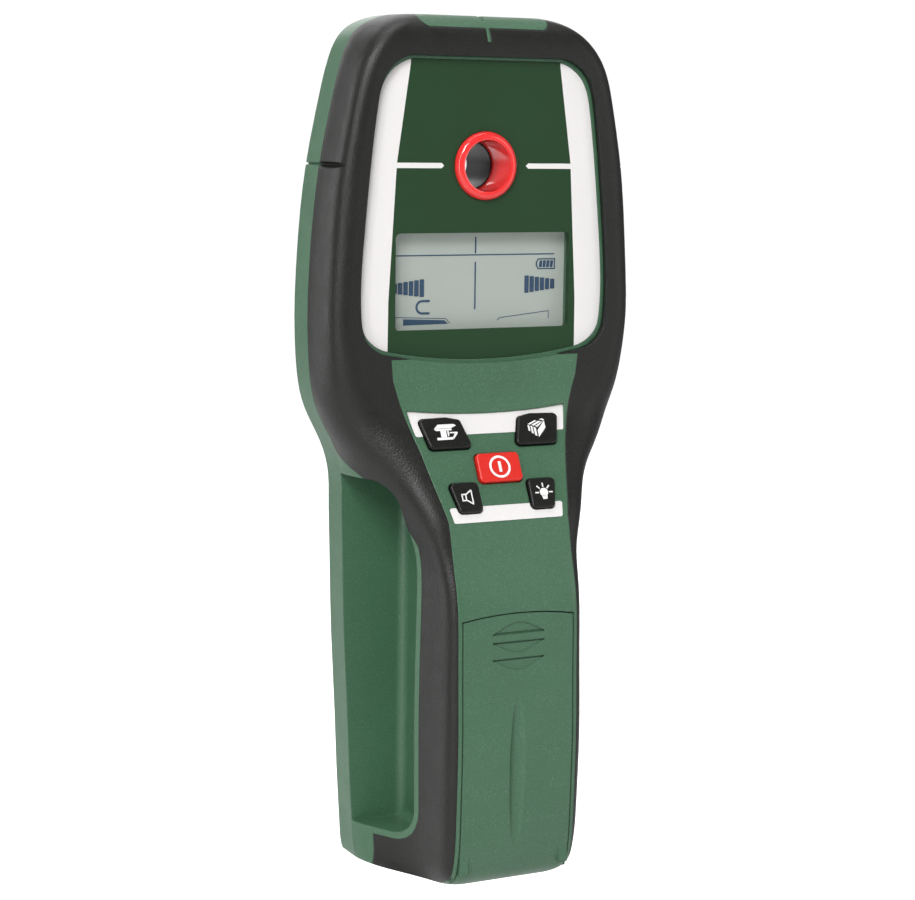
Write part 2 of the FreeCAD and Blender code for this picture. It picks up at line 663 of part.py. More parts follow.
# Spindle-shaped flute down the middle of the door.
flute_low = DOOR_TOP - 82.0
flute_high = DOOR_TOP + 2.0
flute_y = -25.23
flute_half = 2.75
flute_lean = 1.0
arc = Part.Arc(Vector(0, flute_y, flute_low), Vector(flute_half, flute_y, (flute_low + flute_high) / 2),
               Vector(0, flute_y, flute_high)).toShape()
chord = Part.LineSegment(Vector(0, flute_y, flute_high), Vector(0, flute_y, flute_low)).toShape()
spindle = Part.Face(Part.Wire([arc, chord])).revolve(Vector(0, flute_y, 0), Vector(0, 0, 1), 360)
spindle.rotate(Vector(0, flute_y, 0), Vector(0, 0, 1), -90.0)
spindle.rotate(Vector(0, flute_y, flute_high), Vector(1, 0, 0), flute_lean)
door_solid = door_solid.cut(spindle)
door_solid = sorted(door_solid.Solids, key=lambda solid: solid.Volume)[-1]

cover_solid = plate(cover_face, COVER_Y, SOLE_Y)
cover_solid = cover_solid.cut(tube(size("bore_radius") + size("bore_wall") + size("fit_gap"), 0.0,
                                   COVER_Y - 1, SOLE_Y + 1))
for x, z in BOSS_SPOTS:
    shank = Part.makeCylinder(size("screw_radius") + 0.2, 10, Vector(x, COVER_Y - 1, z), Vector(0, 1, 0))
    sink = Part.makeCylinder(size("screw_head") + 0.2, 5, Vector(x, SOLE_Y - 1.2, z), Vector(0, 1, 0))
    cover_solid = cover_solid.cut(shank).cut(sink)

# Glide pads let into the sole, and the blank rating plate.
PAD_SPOTS = []
for sign in (-1, 1):
    PAD_SPOTS.append((sign * (size("head_half") - 22.0), TOP - 11.0, True))
    PAD_SPOTS.append((sign * (size("head_half") - 24.0), FACIA_LOW - 5.0, True))
pad_solids = []
for x, z, across in PAD_SPOTS:
    half_x = size("pad_long") / 2 - 2.0
    half_z = size("pad_wide") / 2
    pad = box(x - half_x, x + half_x, SOLE_Y - size("pad_sunk"), SOLE_Y + size("pad_proud"),
              z - half_z, z + half_z)
    corners = [edge for edge in pad.Edges if abs(edge.Vertexes[0].Y - edge.Vertexes[1].Y) > 0.01]
    pad = pad.makeFillet(2.4, corners)
    pad_solids.append(pad)
    cover_solid = cover_solid.cut(pad)
foot_pad = box(-10.0, 10.0, SOLE_Y - size("pad_sunk"), SOLE_Y + size("pad_proud"), 4.0, 10.0)
corners = [edge for edge in foot_pad.Edges if abs(edge.Vertexes[0].Y - edge.Vertexes[1].Y) > 0.01]
foot_pad = foot_pad.makeFillet(2.4, corners)
pad_solids.append(foot_pad)
cover_solid = cover_solid.cut(foot_pad)
plate_solid = rounded_plate(17.0, 46.0, DOOR_TOP + 18.0, 2.0, SOLE_Y - 0.5, SOLE_Y + 0.1)
cover_solid = cover_solid.cut(plate_solid)

# --------------------------------------------------------------------- facia
label_low = BORE_Z - size("label_drop")
label_high = BORE_Z + size("label_rise")
label_points = [
    (size("label_half_low") + 0.1, label_low + 1.9), (size("label_half_low"), label_low + 14.5),
    (size("label_half_mid"), BORE_Z + 0.7), (size("label_half_top"), label_high - 0.9),
]
facia = plate(pocket_face, 0.0, size("facia_thick"))
clear = size("fit_gap")
facia_points = frame_outline(size("frame_line") + clear)
facia_body = plate(symmetric_face(facia_points, frame_low + size("frame_line") + clear,
                                  frame_high - size("frame_line") - clear),
                   0.0, size("facia_thick"))
label_corners = [(x, -FAR, z) for x, z in label_points]
label_corners = [(label_points[0][0], -FAR, frame_low - 1)] + label_corners
label_corners += [(label_points[-1][0], -FAR, frame_high + 1)]
label_corners += [(-x, y, z) for x, y, z in reversed(label_corners)]
label_zone = polygon_face(label_corners).extrude(Vector(0, 2 * FAR, 0))
pointers = []
for sign in (-1, 1):
    start = sign * (size("label_half_mid") + 1.5)
    tip = sign * size("pointer_tip")
    half = size("pointer_half")
    pointer = polygon_face([
        (start, -FAR, BORE_Z - half), (start, -FAR, BORE_Z + half),
        (tip + sign * half, -FAR, BORE_Z + half), (tip, -FAR, BORE_Z), (tip + sign * half, -FAR, BORE_Z - half),
    ]).extrude(Vector(0, 2 * FAR, 0))
    pointers.append(pointer)
label_window = rounded_plate(size("window_half") + clear, window_low - clear, window_high + clear,
                             size("window_radius") + clear, -5.0, 5.0)
label_solid = facia_body.common(label_zone).cut(pointers[0]).cut(pointers[1]).cut(label_window)
label_solid = label_solid.cut(tube(RING_RADIUS + size("ring_tube") + 0.1, 0.0, -5.0, 0.4))
label_solid = label_solid.cut(tube(size("bore_radius") + size("bore_wall") + 0.5, 0.0, -5.0, 5.0))
white = facia_body.cut(label_zone)
for pointer in pointers:
    white = white.fuse(facia_body.common(pointer))
trim_left = white.common(box(-FAR, 0, -FAR, FAR, 0, TOP))
trim_right = white.common(box(0, FAR, -FAR, FAR, 0, TOP))
trim_left = sorted(trim_left.Solids, key=lambda solid: solid.Volume)[-1]
trim_right = sorted(trim_right.Solids, key=lambda solid: solid.Volume)[-1]

# Light ring: a bead proud of the facia on a translucent tube.
bead = Part.makeTorus(RING_RADIUS, size("ring_tube"), Vector(0, -0.2, BORE_Z), Vector(0, 1, 0))
guide = tube(size("bore_radius") + size("bore_wall"), size("ring_bore"), 0.0, size("guide_end"))
ring_solid = bead.fuse(guide)
ring_solid = ring_solid.cut(tube(size("ring_bore"), 0.0, -5.0, size("guide_end") + 1))
ring_solid = ring_solid.cut(box(-FAR, FAR, 0.4, 3.0, 0, TOP).cut(
    tube(size("bore_radius") + size("bore_wall"), 0.0, -5.0, FAR)))

# ------------------------------------------------------- shells as objects
NODES = []


def keep(item):
    """Add a sub-part to the list of nodes that are written out."""
    NODES.append(item.Label)
    return item


keep(feature("housing", housing_solid))
keep(feature("grip_overmould", grip_solid))
keep(feature("back_cover", cover_solid))
keep(feature("battery_door", door_solid))
keep(feature("label_panel", label_solid))
keep(feature("side_trim_left", trim_left))
keep(feature("side_trim_right", trim_right))
keep(feature("light_ring", ring_solid))
keep(feature("glide_pads", Part.makeCompound(pad_solids)))
keep(feature("rating_plate", plate_solid))
for name in key_solids:
    keep(feature(name, key_solids[name]))
for name in inlay_solids:
    keep(feature(name, inlay_solids[name]))


# --------------------------------------------- flat pieces as sketched bodies
def front_sketch(body, label, depth):
    """Sketch in the x-z plane at y = depth, an expression of the sheet."""
    sketch = body.newObject("Sketcher::SketchObject", label)
    plane = [item for item in body.Origin.OriginFeatures if item.Role == "XZ_Plane"][0]
    sketch.AttachmentSupport = (plane, [""])
    sketch.MapMode = "FlatFace"
    sketch.setExpression("AttachmentOffset.Base.z", "-(%s)" % depth)
    return sketch


def draw_rectangle(sketch, tag, left, right, low, high):
    """Rectangle whose four sides are bound to expressions of the sheet."""
    values = [float(sheet.evalExpression(text)) for text in (left, right, low, high)]
    x_low, x_high, z_low, z_high = values
    corners = [Vector(x_low, z_low, 0), Vector(x_high, z_low, 0), Vector(x_high, z_high, 0),
               Vector(x_low, z_high, 0)]
    first = sketch.GeometryCount
    for index in range(4):
        sketch.addGeometry(Part.LineSegment(corners[index], corners[(index + 1) % 4]))
    for index in range(4):
        sketch.addConstraint(Sketcher.Constraint("Coincident", first + index, 2,
                                                 first + (index + 1) % 4, 1))
    sketch.addConstraint(Sketcher.Constraint("Horizontal", first))
    sketch.addConstraint(Sketcher.Constraint("Vertical", first + 1))
    sketch.addConstraint(Sketcher.Constraint("Horizontal", first + 2))
    sketch.addConstraint(Sketcher.Constraint("Vertical", first + 3))
    rules = (("DistanceX", 0, x_low, left), ("DistanceY", 0, z_low, low),
             ("DistanceX", 2, x_high, right), ("DistanceY", 2, z_high, high))
    for number, (kind, line, value, text) in enumerate(rules):
        index = sketch.addConstraint(Sketcher.Constraint(kind, -1, 1, first + line, 1, value))
        name = "%s_%d" % (tag, number)
        sketch.renameConstraint(index, name)
        sketch.setExpression("Constraints." + name, text)


def draw_circle(sketch, tag, x, z, radius):
    """Circle whose centre and radius are bound to expressions of the sheet."""
    x_value, z_value, r_value = [float(sheet.evalExpression(text)) for text in (x, z, radius)]
    first = sketch.addGeometry(Part.Circle(Vector(x_value, z_value, 0), Vector(0, 0, 1), r_value))
    rules = [("Radius", None, r_value, radius), ("DistanceY", 3, z_value, z)]
    if abs(x_value) > 1e-6:
        rules.append(("DistanceX", 3, x_value, x))
    else:
        sketch.addConstraint(Sketcher.Constraint("PointOnObject", first, 3, -2))
    for number, (kind, point, value, text) in enumerate(rules):
        if kind == "Radius":
            index = sketch.addConstraint(Sketcher.Constraint(kind, first, value))
        else:
            index = sketch.addConstraint(Sketcher.Constraint(kind, -1, 1, first, point, value))
        name = "%s_%d" % (tag, number)
        sketch.renameConstraint(index, name)
        sketch.setExpression("Constraints." + name, text)


def pad_back(body, sketch, thickness):
    """Pad from the sketch towards the sole by an expression of the sheet."""
    pad = body.newObject("PartDesign::Pad", body.Label + "_pad")
    pad.Profile = sketch
    pad.setExpression("Length", thickness)
    pad.Reversed = True
    return pad


bore_text = "(sizes.total_height - sizes.bore_drop)"


def new_body(label):
    """Empty body with its own label."""
    body = doc.addObject("PartDesign::Body", label)
    body.Label = label
    return body


def board(label, depth, thickness, half, low, high, holes):
    """Flat board with round holes, its sizes bound to the sheet."""
    body = new_body(label)
    sketch = front_sketch(body, label + "_sketch", depth)
    draw_rectangle(sketch, "edge", "-(%s)" % half, half, low, high)
    for number, (x, z, radius) in enumerate(holes):
        draw_circle(sketch, "hole%d" % number, x, z, radius)
    pad_back(body, sketch, thickness)
    doc.recompute()
    return keep(body)


post_texts = []
for side in ("-sizes.post_x", "sizes.post_x"):
    for rise in (" + sizes.post_rise", " - sizes.post_drop"):
        post_texts.append((side, bore_text + rise))
board_hole = "(sizes.bore_radius + sizes.bore_wall + sizes.board_clear)"
board_holes = [("0", bore_text, board_hole)]
board_holes += [(x, z, "sizes.spacer_hole") for x, z in post_texts]
board("main_board", "sizes.board_y", "sizes.board_thick", "sizes.board_half",
      bore_text + " - sizes.board_drop", bore_text + " + sizes.board_rise", board_holes)
board("sensor_board", "sizes.sensor_board_y", "sizes.sensor_board_thick", "sizes.sensor_half",
      bore_text + " - sizes.board_drop", bore_text + " + sizes.board_rise", board_holes)
glass_y = "(sizes.facia_thick + sizes.shelf_thick + sizes.fit_gap)"
glass_low = bore_text + " - sizes.window_low - sizes.glass_border"
glass_high = bore_text + " - sizes.window_top + sizes.glass_border"
board("lcd_module", glass_y, "sizes.glass_thick", "sizes.glass_half", glass_low, glass_high, [])
board("lcd_backlight", glass_y + " + sizes.glass_thick + sizes.fit_gap", "sizes.light_thick",
      "sizes.glass_half", glass_low, glass_high, [])

window = new_body("display_window")
window_sketch = front_sketch(window, "window_sketch", "0.2")
draw_rectangle(window_sketch, "edge", "-sizes.window_half", "sizes.window_half",
               bore_text + " - sizes.window_low", bore_text + " - sizes.window_top")
window_pad = pad_back(window, window_sketch, "sizes.window_thick")
doc.recompute()
upright = []
for number, edge in enumerate(window_pad.Shape.Edges):
    if abs(edge.Vertexes[0].Y - edge.Vertexes[1].Y) > 0.01:
        upright.append("Edge%d" % (number + 1))
window_round = window.newObject("PartDesign::Fillet", "window_round")
window_round.Base = (window_pad, upright)
window_round.setExpression("Radius", "sizes.window_radius")
doc.recompute()
keep(window)

battery = new_body("battery_9v")
battery_sketch = front_sketch(battery, "battery_sketch", "-sizes.ledge_y + sizes.battery_gap")
draw_rectangle(battery_sketch, "edge", "-sizes.battery_wide / 2", "sizes.battery_wide / 2",
               "sizes.battery_floor", "sizes.battery_floor + sizes.battery_tall")
battery_pad = pad_back(battery, battery_sketch, "sizes.battery_deep")
doc.recompute()
upright = []
for number, edge in enumerate(battery_pad.Shape.Edges):
    if abs(edge.Vertexes[0].Z - edge.Vertexes[1].Z) > 1:
        upright.append("Edge%d" % (number + 1))
battery_round = battery.newObject("PartDesign::Fillet", "battery_round")
battery_round.Base = (battery_pad, upright)
battery_round.Radius = 2.0
doc.recompute()
keep(battery)

foam = new_body("battery_foam")
foam_sketch = front_sketch(foam, "foam_sketch",
                           "-sizes.ledge_y + 2 * sizes.battery_gap + sizes.battery_deep")
draw_rectangle(foam_sketch, "edge", "-sizes.battery_wide / 2 + 3", "sizes.battery_wide / 2 - 3",
               "sizes.battery_floor + 8", "sizes.battery_floor + sizes.battery_tall - 12")
pad_back(foam, foam_sketch, "sizes.pad_foam")
doc.recompute()
keep(foam)

clip = new_body("battery_clip")
clip_sketch = front_sketch(clip, "clip_sketch", "-sizes.ledge_y + 2")
clip_low = "sizes.battery_floor + sizes.battery_tall + sizes.terminal_tall + sizes.fit_gap"
draw_rectangle(clip_sketch, "edge", "-sizes.battery_wide / 2 + 0.8", "sizes.battery_wide / 2 - 0.8",
               clip_low, clip_low + " + sizes.clip_tall")
pad_back(clip, clip_sketch, "sizes.battery_deep - 4")
doc.recompute()
keep(clip)


# ------------------------------------------------- round pieces as primitives
def pipe(label, outer, inner, start, length):
    """Tube about the marking bore's axis, made as one cylinder cut from another."""
    solids = []
    for tag, radius in (("outer", outer), ("inner", inner)):
        solid = doc.addObject("Part::Cylinder", "%s_%s" % (label, tag))
        solid.setExpression("Radius", radius)
        solid.setExpression("Height", length)
        solid.Placement = Placement(Vector(0, 0, 0), Rotation(Vector(1, 0, 0), -90))
        solid.setExpression("Placement.Base.y", start)
        solid.setExpression("Placement.Base.z", bore_text)
        solids.append(solid)
    result = doc.addObject("Part::Cut", label)
    result.Base = solids[0]
    result.Tool = solids[1]
    result.Label = label
    doc.recompute()
    return keep(result)


pipe("bore_tube", "sizes.bore_radius + sizes.bore_wall", "sizes.bore_radius",
     "sizes.guide_end", "sizes.sole_y - sizes.guide_end")

coil = doc.addObject("Part::Torus", "sensor_coil")
coil.setExpression("Radius1", "sizes.coil_radius")
coil.setExpression("Radius2", "sizes.coil_wire")
coil.Placement = Placement(Vector(0, 0, 0), Rotation(Vector(1, 0, 0), -90))
coil.setExpression("Placement.Base.y", "sizes.coil_y")
coil.setExpression("Placement.Base.z", bore_text)
coil.Label = "sensor_coil"
keep(coil)

buzzer = doc.addObject("Part::Cylinder", "buzzer")
buzzer.setExpression("Radius", "sizes.buzzer_radius")
buzzer.setExpression("Height", "sizes.buzzer_tall")
buzzer.Placement = Placement(Vector(14, 0, 0), Rotation(Vector(1, 0, 0), -90))
buzzer.setExpression("Placement.Base.y", "sizes.board_y + sizes.board_thick")
buzzer.setExpression("Placement.Base.z", bore_text + " - 40")
buzzer.Label = "buzzer"
keep(buzzer)

chip = doc.addObject("Part::Box", "microcontroller")
chip.setExpression("Length", "sizes.chip_size")
chip.setExpression("Height", "sizes.chip_size")
chip.setExpression("Width", "sizes.chip_thick")
chip.Placement = Placement(Vector(-18, 0, 0), Rotation())
chip.setExpression("Placement.Base.y", "sizes.board_y + sizes.board_thick")
chip.setExpression("Placement.Base.z", bore_text + " - 44")
chip.Label = "microcontroller"
keep(chip)

# ---------------------------------------------------------- groups of pieces
BOARD_BACK = size("board_y") + size("board_thick")
SENSOR_BACK = size("sensor_board_y") + size("sensor_board_thick")


def turned(radius, start, stop, x, z):
    """Round bar along y at one spot."""
    return Part.makeCylinder(radius, stop - start, Vector(x, start, z), Vector(0, 1, 0))


spacers = []
screws = []
for x, z in POST_SPOTS:
    ring = turned(size("post_radius"), BOARD_BACK, size("sensor_board_y"), x, z)
    spacers.append(ring.cut(turned(size("spacer_hole"), BOARD_BACK, size("sensor_board_y"), x, z)))
    shank = turned(size("post_hole") - 0.05, size("board_y") - 4.0, SENSOR_BACK + 0.2, x, z)
    screws.append(shank.fuse(turned(2.0, SENSOR_BACK, SENSOR_BACK + 1.1, x, z)))
keep(feature("board_spacers", Part.makeCompound(spacers)))
keep(feature("board_screws", Part.makeCompound(screws)))

leds = [turned(size("led_radius"), size("board_y") - size("led_tall"), size("board_y"),
               sign * (RING_RADIUS + size("led_out")), BORE_Z) for sign in (-1, 1)]
keep(feature("ring_leds", Part.makeCompound(leds)))

plates = []
for sign in (-1, 1):
    inner = sign * size("plate_inner")
    outer_x = sign * size("plate_outer")
    for low, high in ((BORE_Z - 47.0, BORE_Z - 14.0), (BORE_Z - 12.5, BORE_Z + 6.5)):
        plates.append(box(min(inner, outer_x), max(inner, outer_x), SENSOR_BACK,
                          SENSOR_BACK + size("plate_thick"), low, high))
keep(feature("sensor_plates", Part.makeCompound(plates)))

cover_screws = []
for x, z in BOSS_SPOTS:
    shank = turned(size("screw_radius") - 0.06, COVER_Y - size("screw_long") + 1.4, SOLE_Y - 1.0, x, z)
    head = turned(size("screw_head"), SOLE_Y - 1.2, SOLE_Y - 0.2, x, z)
    slot_a = box(x - 1.6, x + 1.6, SOLE_Y - 0.8, SOLE_Y, z - 0.3, z + 0.3)
    slot_b = box(x - 0.3, x + 0.3, SOLE_Y - 0.8, SOLE_Y, z - 1.6, z + 1.6)
    cover_screws.append(shank.fuse(head).cut(slot_a).cut(slot_b))
keep(feature("cover_screws", Part.makeCompound(cover_screws)))

battery_top = size("battery_floor") + size("battery_tall")
terminal_y = -size("ledge_y") + size("battery_gap") + size("battery_deep") / 2
stud = Part.makeCylinder(size("stud_radius"), size("terminal_tall"),
                         Vector(-size("terminal_x"), terminal_y, battery_top))
socket = Part.makeCylinder(size("socket_radius"), size("terminal_tall"),
                           Vector(size("terminal_x"), terminal_y, battery_top))
socket = socket.cut(Part.makeCylinder(size("stud_radius"), size("terminal_tall"),
                                      Vector(size("terminal_x"), terminal_y, battery_top + 0.6)))
keep(feature("battery_terminals", Part.makeCompound([stud, socket])))

# Board under the keys, square to the ramp, with one switch under each key.
switch_top = -size("key_depth") - size("key_travel") - 0.1
board_top = switch_top - size("switch_height")
keypad_board = Part.makeBox(26.2, 25.8, size("keypad_board_thick"),
                            Vector(-13.1, -6.4, board_top - size("keypad_board_thick")))
keypad_board.Placement = RAMP_FRAME.multiply(keypad_board.Placement)
keep(feature("keypad_board", keypad_board))
switches = []
half_switch = size("switch_size") / 2
for x, y in ((-10.6, 15.0), (10.6, 15.0), (-10.3, -2.0), (10.3, -2.0), (0.0, 5.5)):
    switch = Part.makeBox(size("switch_size"), size("switch_size"), size("switch_height"),
                          Vector(x - half_switch, y - half_switch, board_top))
    switch.Placement = RAMP_FRAME.multiply(switch.Placement)
    switches.append(switch)
keep(feature("tact_switches", Part.makeCompound(switches)))
doc.recompute()

# -------------------------------------------------------------- write it out
for item in doc.Objects:
    if "Invalid" in item.State or "Error" in item.State:
        raise RuntimeError("%s failed" % item.Label)
os.makedirs("parts", exist_ok=True)
by_label = {item.Label: item for item in doc.Objects}
for name in NODES:
    shape = by_label[name].Shape
    if shape.isNull() or not shape.isValid():
        raise RuntimeError("%s has a bad shape" % name)
    limits = shape.optimalBoundingBox(False)
    print("%-20s %8.0f mm3 %d solids  x %.1f %.1f  y %.1f %.1f  z %.1f %.1f" % (
        name, shape.Volume, len(shape.Solids), limits.XMin, limits.XMax, limits.YMin,
        limits.YMax, limits.ZMin, limits.ZMax))
    shape.exportStep("parts/%s.step" % name)
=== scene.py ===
"""Looks of a hand-held wall scanner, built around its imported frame.

The hard and soft shells, the keys and the inner pieces come from the frame and
get moulded, printed and metal finishes here.  The display's symbols and the
prints on the keys are modelled on top of them.
"""

import json
import logging
import math
from dataclasses import dataclass, field
from enum import Enum
from typing import Dict, List, Sequence, Tuple

import bpy
from mathutils import Matrix, Vector


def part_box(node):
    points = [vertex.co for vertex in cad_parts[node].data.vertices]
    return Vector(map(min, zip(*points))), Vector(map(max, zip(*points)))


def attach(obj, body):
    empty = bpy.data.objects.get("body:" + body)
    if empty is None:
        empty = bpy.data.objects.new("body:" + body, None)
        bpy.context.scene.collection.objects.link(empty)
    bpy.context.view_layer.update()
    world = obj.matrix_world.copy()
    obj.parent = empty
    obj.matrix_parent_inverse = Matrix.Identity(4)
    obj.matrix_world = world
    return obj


LOG = logging.getLogger("wall_scanner")
MM = 0.001
MIX_FACTOR, MIX_BASE, MIX_OVER, MIX_RESULT = 0, 6, 7, 2
WHITE = (1.0, 1.0, 1.0, 1.0)
Colour = Tuple[float, float, float]
Place = Tuple[float, float, float]
Point = Tuple[float, float]

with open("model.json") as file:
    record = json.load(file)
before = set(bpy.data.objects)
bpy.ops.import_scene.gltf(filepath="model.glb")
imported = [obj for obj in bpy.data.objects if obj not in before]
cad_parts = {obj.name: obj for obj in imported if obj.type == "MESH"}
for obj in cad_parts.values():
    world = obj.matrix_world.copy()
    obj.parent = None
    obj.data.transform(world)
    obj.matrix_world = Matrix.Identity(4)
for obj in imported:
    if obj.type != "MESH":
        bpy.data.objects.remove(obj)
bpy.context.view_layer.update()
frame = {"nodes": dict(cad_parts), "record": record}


class Sheen(Enum):
    """How a moulded surface breaks up the light."""

    GLOSS = 0.14
    SATIN = 0.34
    MATTE = 0.55
    RUBBER = 0.38


def wire(tree: bpy.types.NodeTree, start: bpy.types.NodeSocket, end: bpy.types.NodeSocket) -> None:
    """Joins two sockets of one node tree."""
    tree.links.new(start, end)


def node(tree: bpy.types.NodeTree, kind: str, **values: object) -> bpy.types.Node:
    """Adds a node and sets its inputs by name.

    Args:
        tree: the node tree that gets the node.
        kind: the node's type, without its common prefix.
        values: input values, with underscores for spaces in their names.

    Returns:
        The new node.
    """
    made = tree.nodes.new("ShaderNode" + kind)
    for name, value in values.items():
        made.inputs[name.replace("_", " ")].default_value = value
    return made


def open_group(name: str, inputs: Dict[str, float],
               outputs: Sequence[str]) -> Tuple[bpy.types.NodeTree, bpy.types.Node, bpy.types.Node]:
    """Starts a shader node group with named value sockets.

    Args:
        name: the group's name.
        inputs: each input's name and its starting value.
        outputs: the names of the outputs.

    Returns:
        The group's tree, its input node and its output node.
    """
    tree = bpy.data.node_groups.new(name, "ShaderNodeTree")
    for label, value in inputs.items():
        socket = tree.interface.new_socket(name=label, in_out="INPUT", socket_type="NodeSocketFloat")
        socket.default_value = value
    for label in outputs:
        tree.interface.new_socket(name=label, in_out="OUTPUT", socket_type="NodeSocketFloat")
    return tree, tree.nodes.new("NodeGroupInput"), tree.nodes.new("NodeGroupOutput")


def noise(tree: bpy.types.NodeTree, place: bpy.types.NodeSocket, scale: float,
          detail: float) -> bpy.types.Node:
    """Adds a noise texture at one place and scale.

    Args:
        tree: the node tree that gets the texture.
        place: the socket that gives the coordinates.
        scale: the texture's scale, in cells to the metre.
        detail: how many octaves it has.

    Returns:
        The noise texture's node.
    """
    made = node(tree, "TexNoise", Scale=scale, Detail=detail, Roughness=0.55)
    wire(tree, place, made.inputs["Vector"])
    return made


def spread(tree: bpy.types.NodeTree, value: bpy.types.NodeSocket, low: float,
           high: float) -> bpy.types.NodeSocket:
    """Stretches the part of a value between two limits to 0 to 1.

    Args:
        tree: the node tree that gets the node.
        value: the socket that is stretched.
        low: the value that becomes 0.
        high: the value that becomes 1.

    Returns:
        The socket with the stretched value.
    """
    ranger = tree.nodes.new("ShaderNodeMapRange")
    ranger.inputs["From Min"].default_value = low
    ranger.inputs["From Max"].default_value = high
    wire(tree, value, ranger.inputs["Value"])
    return ranger.outputs["Result"]


def multiply(tree: bpy.types.NodeTree, value: bpy.types.NodeSocket) -> bpy.types.Node:
    """Adds a node that multiplies a value by its second input.

    Args:
        tree: the node tree that gets the node.
        value: the socket that is multiplied.

    Returns:
        The new node.
    """
    made = tree.nodes.new("ShaderNodeMath")
    made.operation = "MULTIPLY"
    wire(tree, value, made.inputs[0])
    return made


def choose_for_eye(tree: bpy.types.NodeTree, unseen: bpy.types.NodeSocket, seen: bpy.types.NodeSocket,
                   end: bpy.types.NodeSocket) -> None:
    """Shows one shader to the camera and gives another to every other ray.

    Args:
        tree: the node tree that gets the nodes.
        unseen: the shader that lights the pieces.
        seen: the shader that the camera sees.
        end: the input of the tree's output node.
    """
    chooser = tree.nodes.new("ShaderNodeMixShader")
    ray = tree.nodes.new("ShaderNodeLightPath")
    wire(tree, ray.outputs["Is Camera Ray"], chooser.inputs[0])
    wire(tree, unseen, chooser.inputs[1])
    wire(tree, seen, chooser.inputs[2])
    wire(tree, chooser.outputs["Shader"], end)


def make_moulding_group() -> bpy.types.NodeTree:
    """Builds the spark-eroded grain, fleck and slow mottle of moulded plastic.

    Returns:
        A group with the inputs Grain and Fleck Size and the outputs Height, Fleck, Mottle and Gloss.
    """
    inputs = {"Grain": 1500.0, "Fleck Size": 2600.0}
    tree, given, made = open_group("moulding_grain", inputs, ("Height", "Fleck", "Mottle", "Gloss"))
    place = tree.nodes.new("ShaderNodeTexCoord").outputs["Object"]
    grain = noise(tree, place, scale=inputs["Grain"], detail=3.0)
    wire(tree, given.outputs["Grain"], grain.inputs["Scale"])
    fleck = noise(tree, place, scale=inputs["Fleck Size"], detail=1.0)
    wire(tree, given.outputs["Fleck Size"], fleck.inputs["Scale"])
    mottle = noise(tree, place, scale=34.0, detail=2.0)
    rub = noise(tree, place, scale=180.0, detail=4.0)
    wire(tree, spread(tree, grain.outputs["Fac"], low=0.30, high=0.70), made.inputs["Height"])
    wire(tree, spread(tree, fleck.outputs["Fac"], low=0.56, high=0.74), made.inputs["Fleck"])
    wire(tree, spread(tree, mottle.outputs["Fac"], low=0.30, high=0.70), made.inputs["Mottle"])
    wire(tree, spread(tree, rub.outputs["Fac"], low=0.25, high=0.75), made.inputs["Gloss"])
    return tree


def make_dust_group() -> bpy.types.NodeTree:
    """Builds the faint dust that settles on upward faces.

    Returns:
        A group with the input Amount and the output Dust.
    """
    tree, given, made = open_group("settled_dust", {"Amount": 0.1}, ("Dust",))
    facing = tree.nodes.new("ShaderNodeNewGeometry")
    split = tree.nodes.new("ShaderNodeSeparateXYZ")
    wire(tree, facing.outputs["Normal"], split.inputs["Vector"])
    place = tree.nodes.new("ShaderNodeTexCoord").outputs["Object"]
    specks = noise(tree, place, scale=900.0, detail=4.0)
    upward = spread(tree, split.outputs["Z"], low=0.2, high=1.0)
    grains = spread(tree, specks.outputs["Fac"], low=0.45, high=0.75)
    both = multiply(tree, upward)
    wire(tree, grains, both.inputs[1])
    scaled = multiply(tree, both.outputs[0])
    wire(tree, given.outputs["Amount"], scaled.inputs[1])
    wire(tree, scaled.outputs[0], made.inputs["Dust"])
    return tree


@dataclass
class Effects:
    """The shared effects that the finishes place in their materials."""

    moulding: bpy.types.NodeTree = field(default_factory=make_moulding_group)
    dust: bpy.types.NodeTree = field(default_factory=make_dust_group)


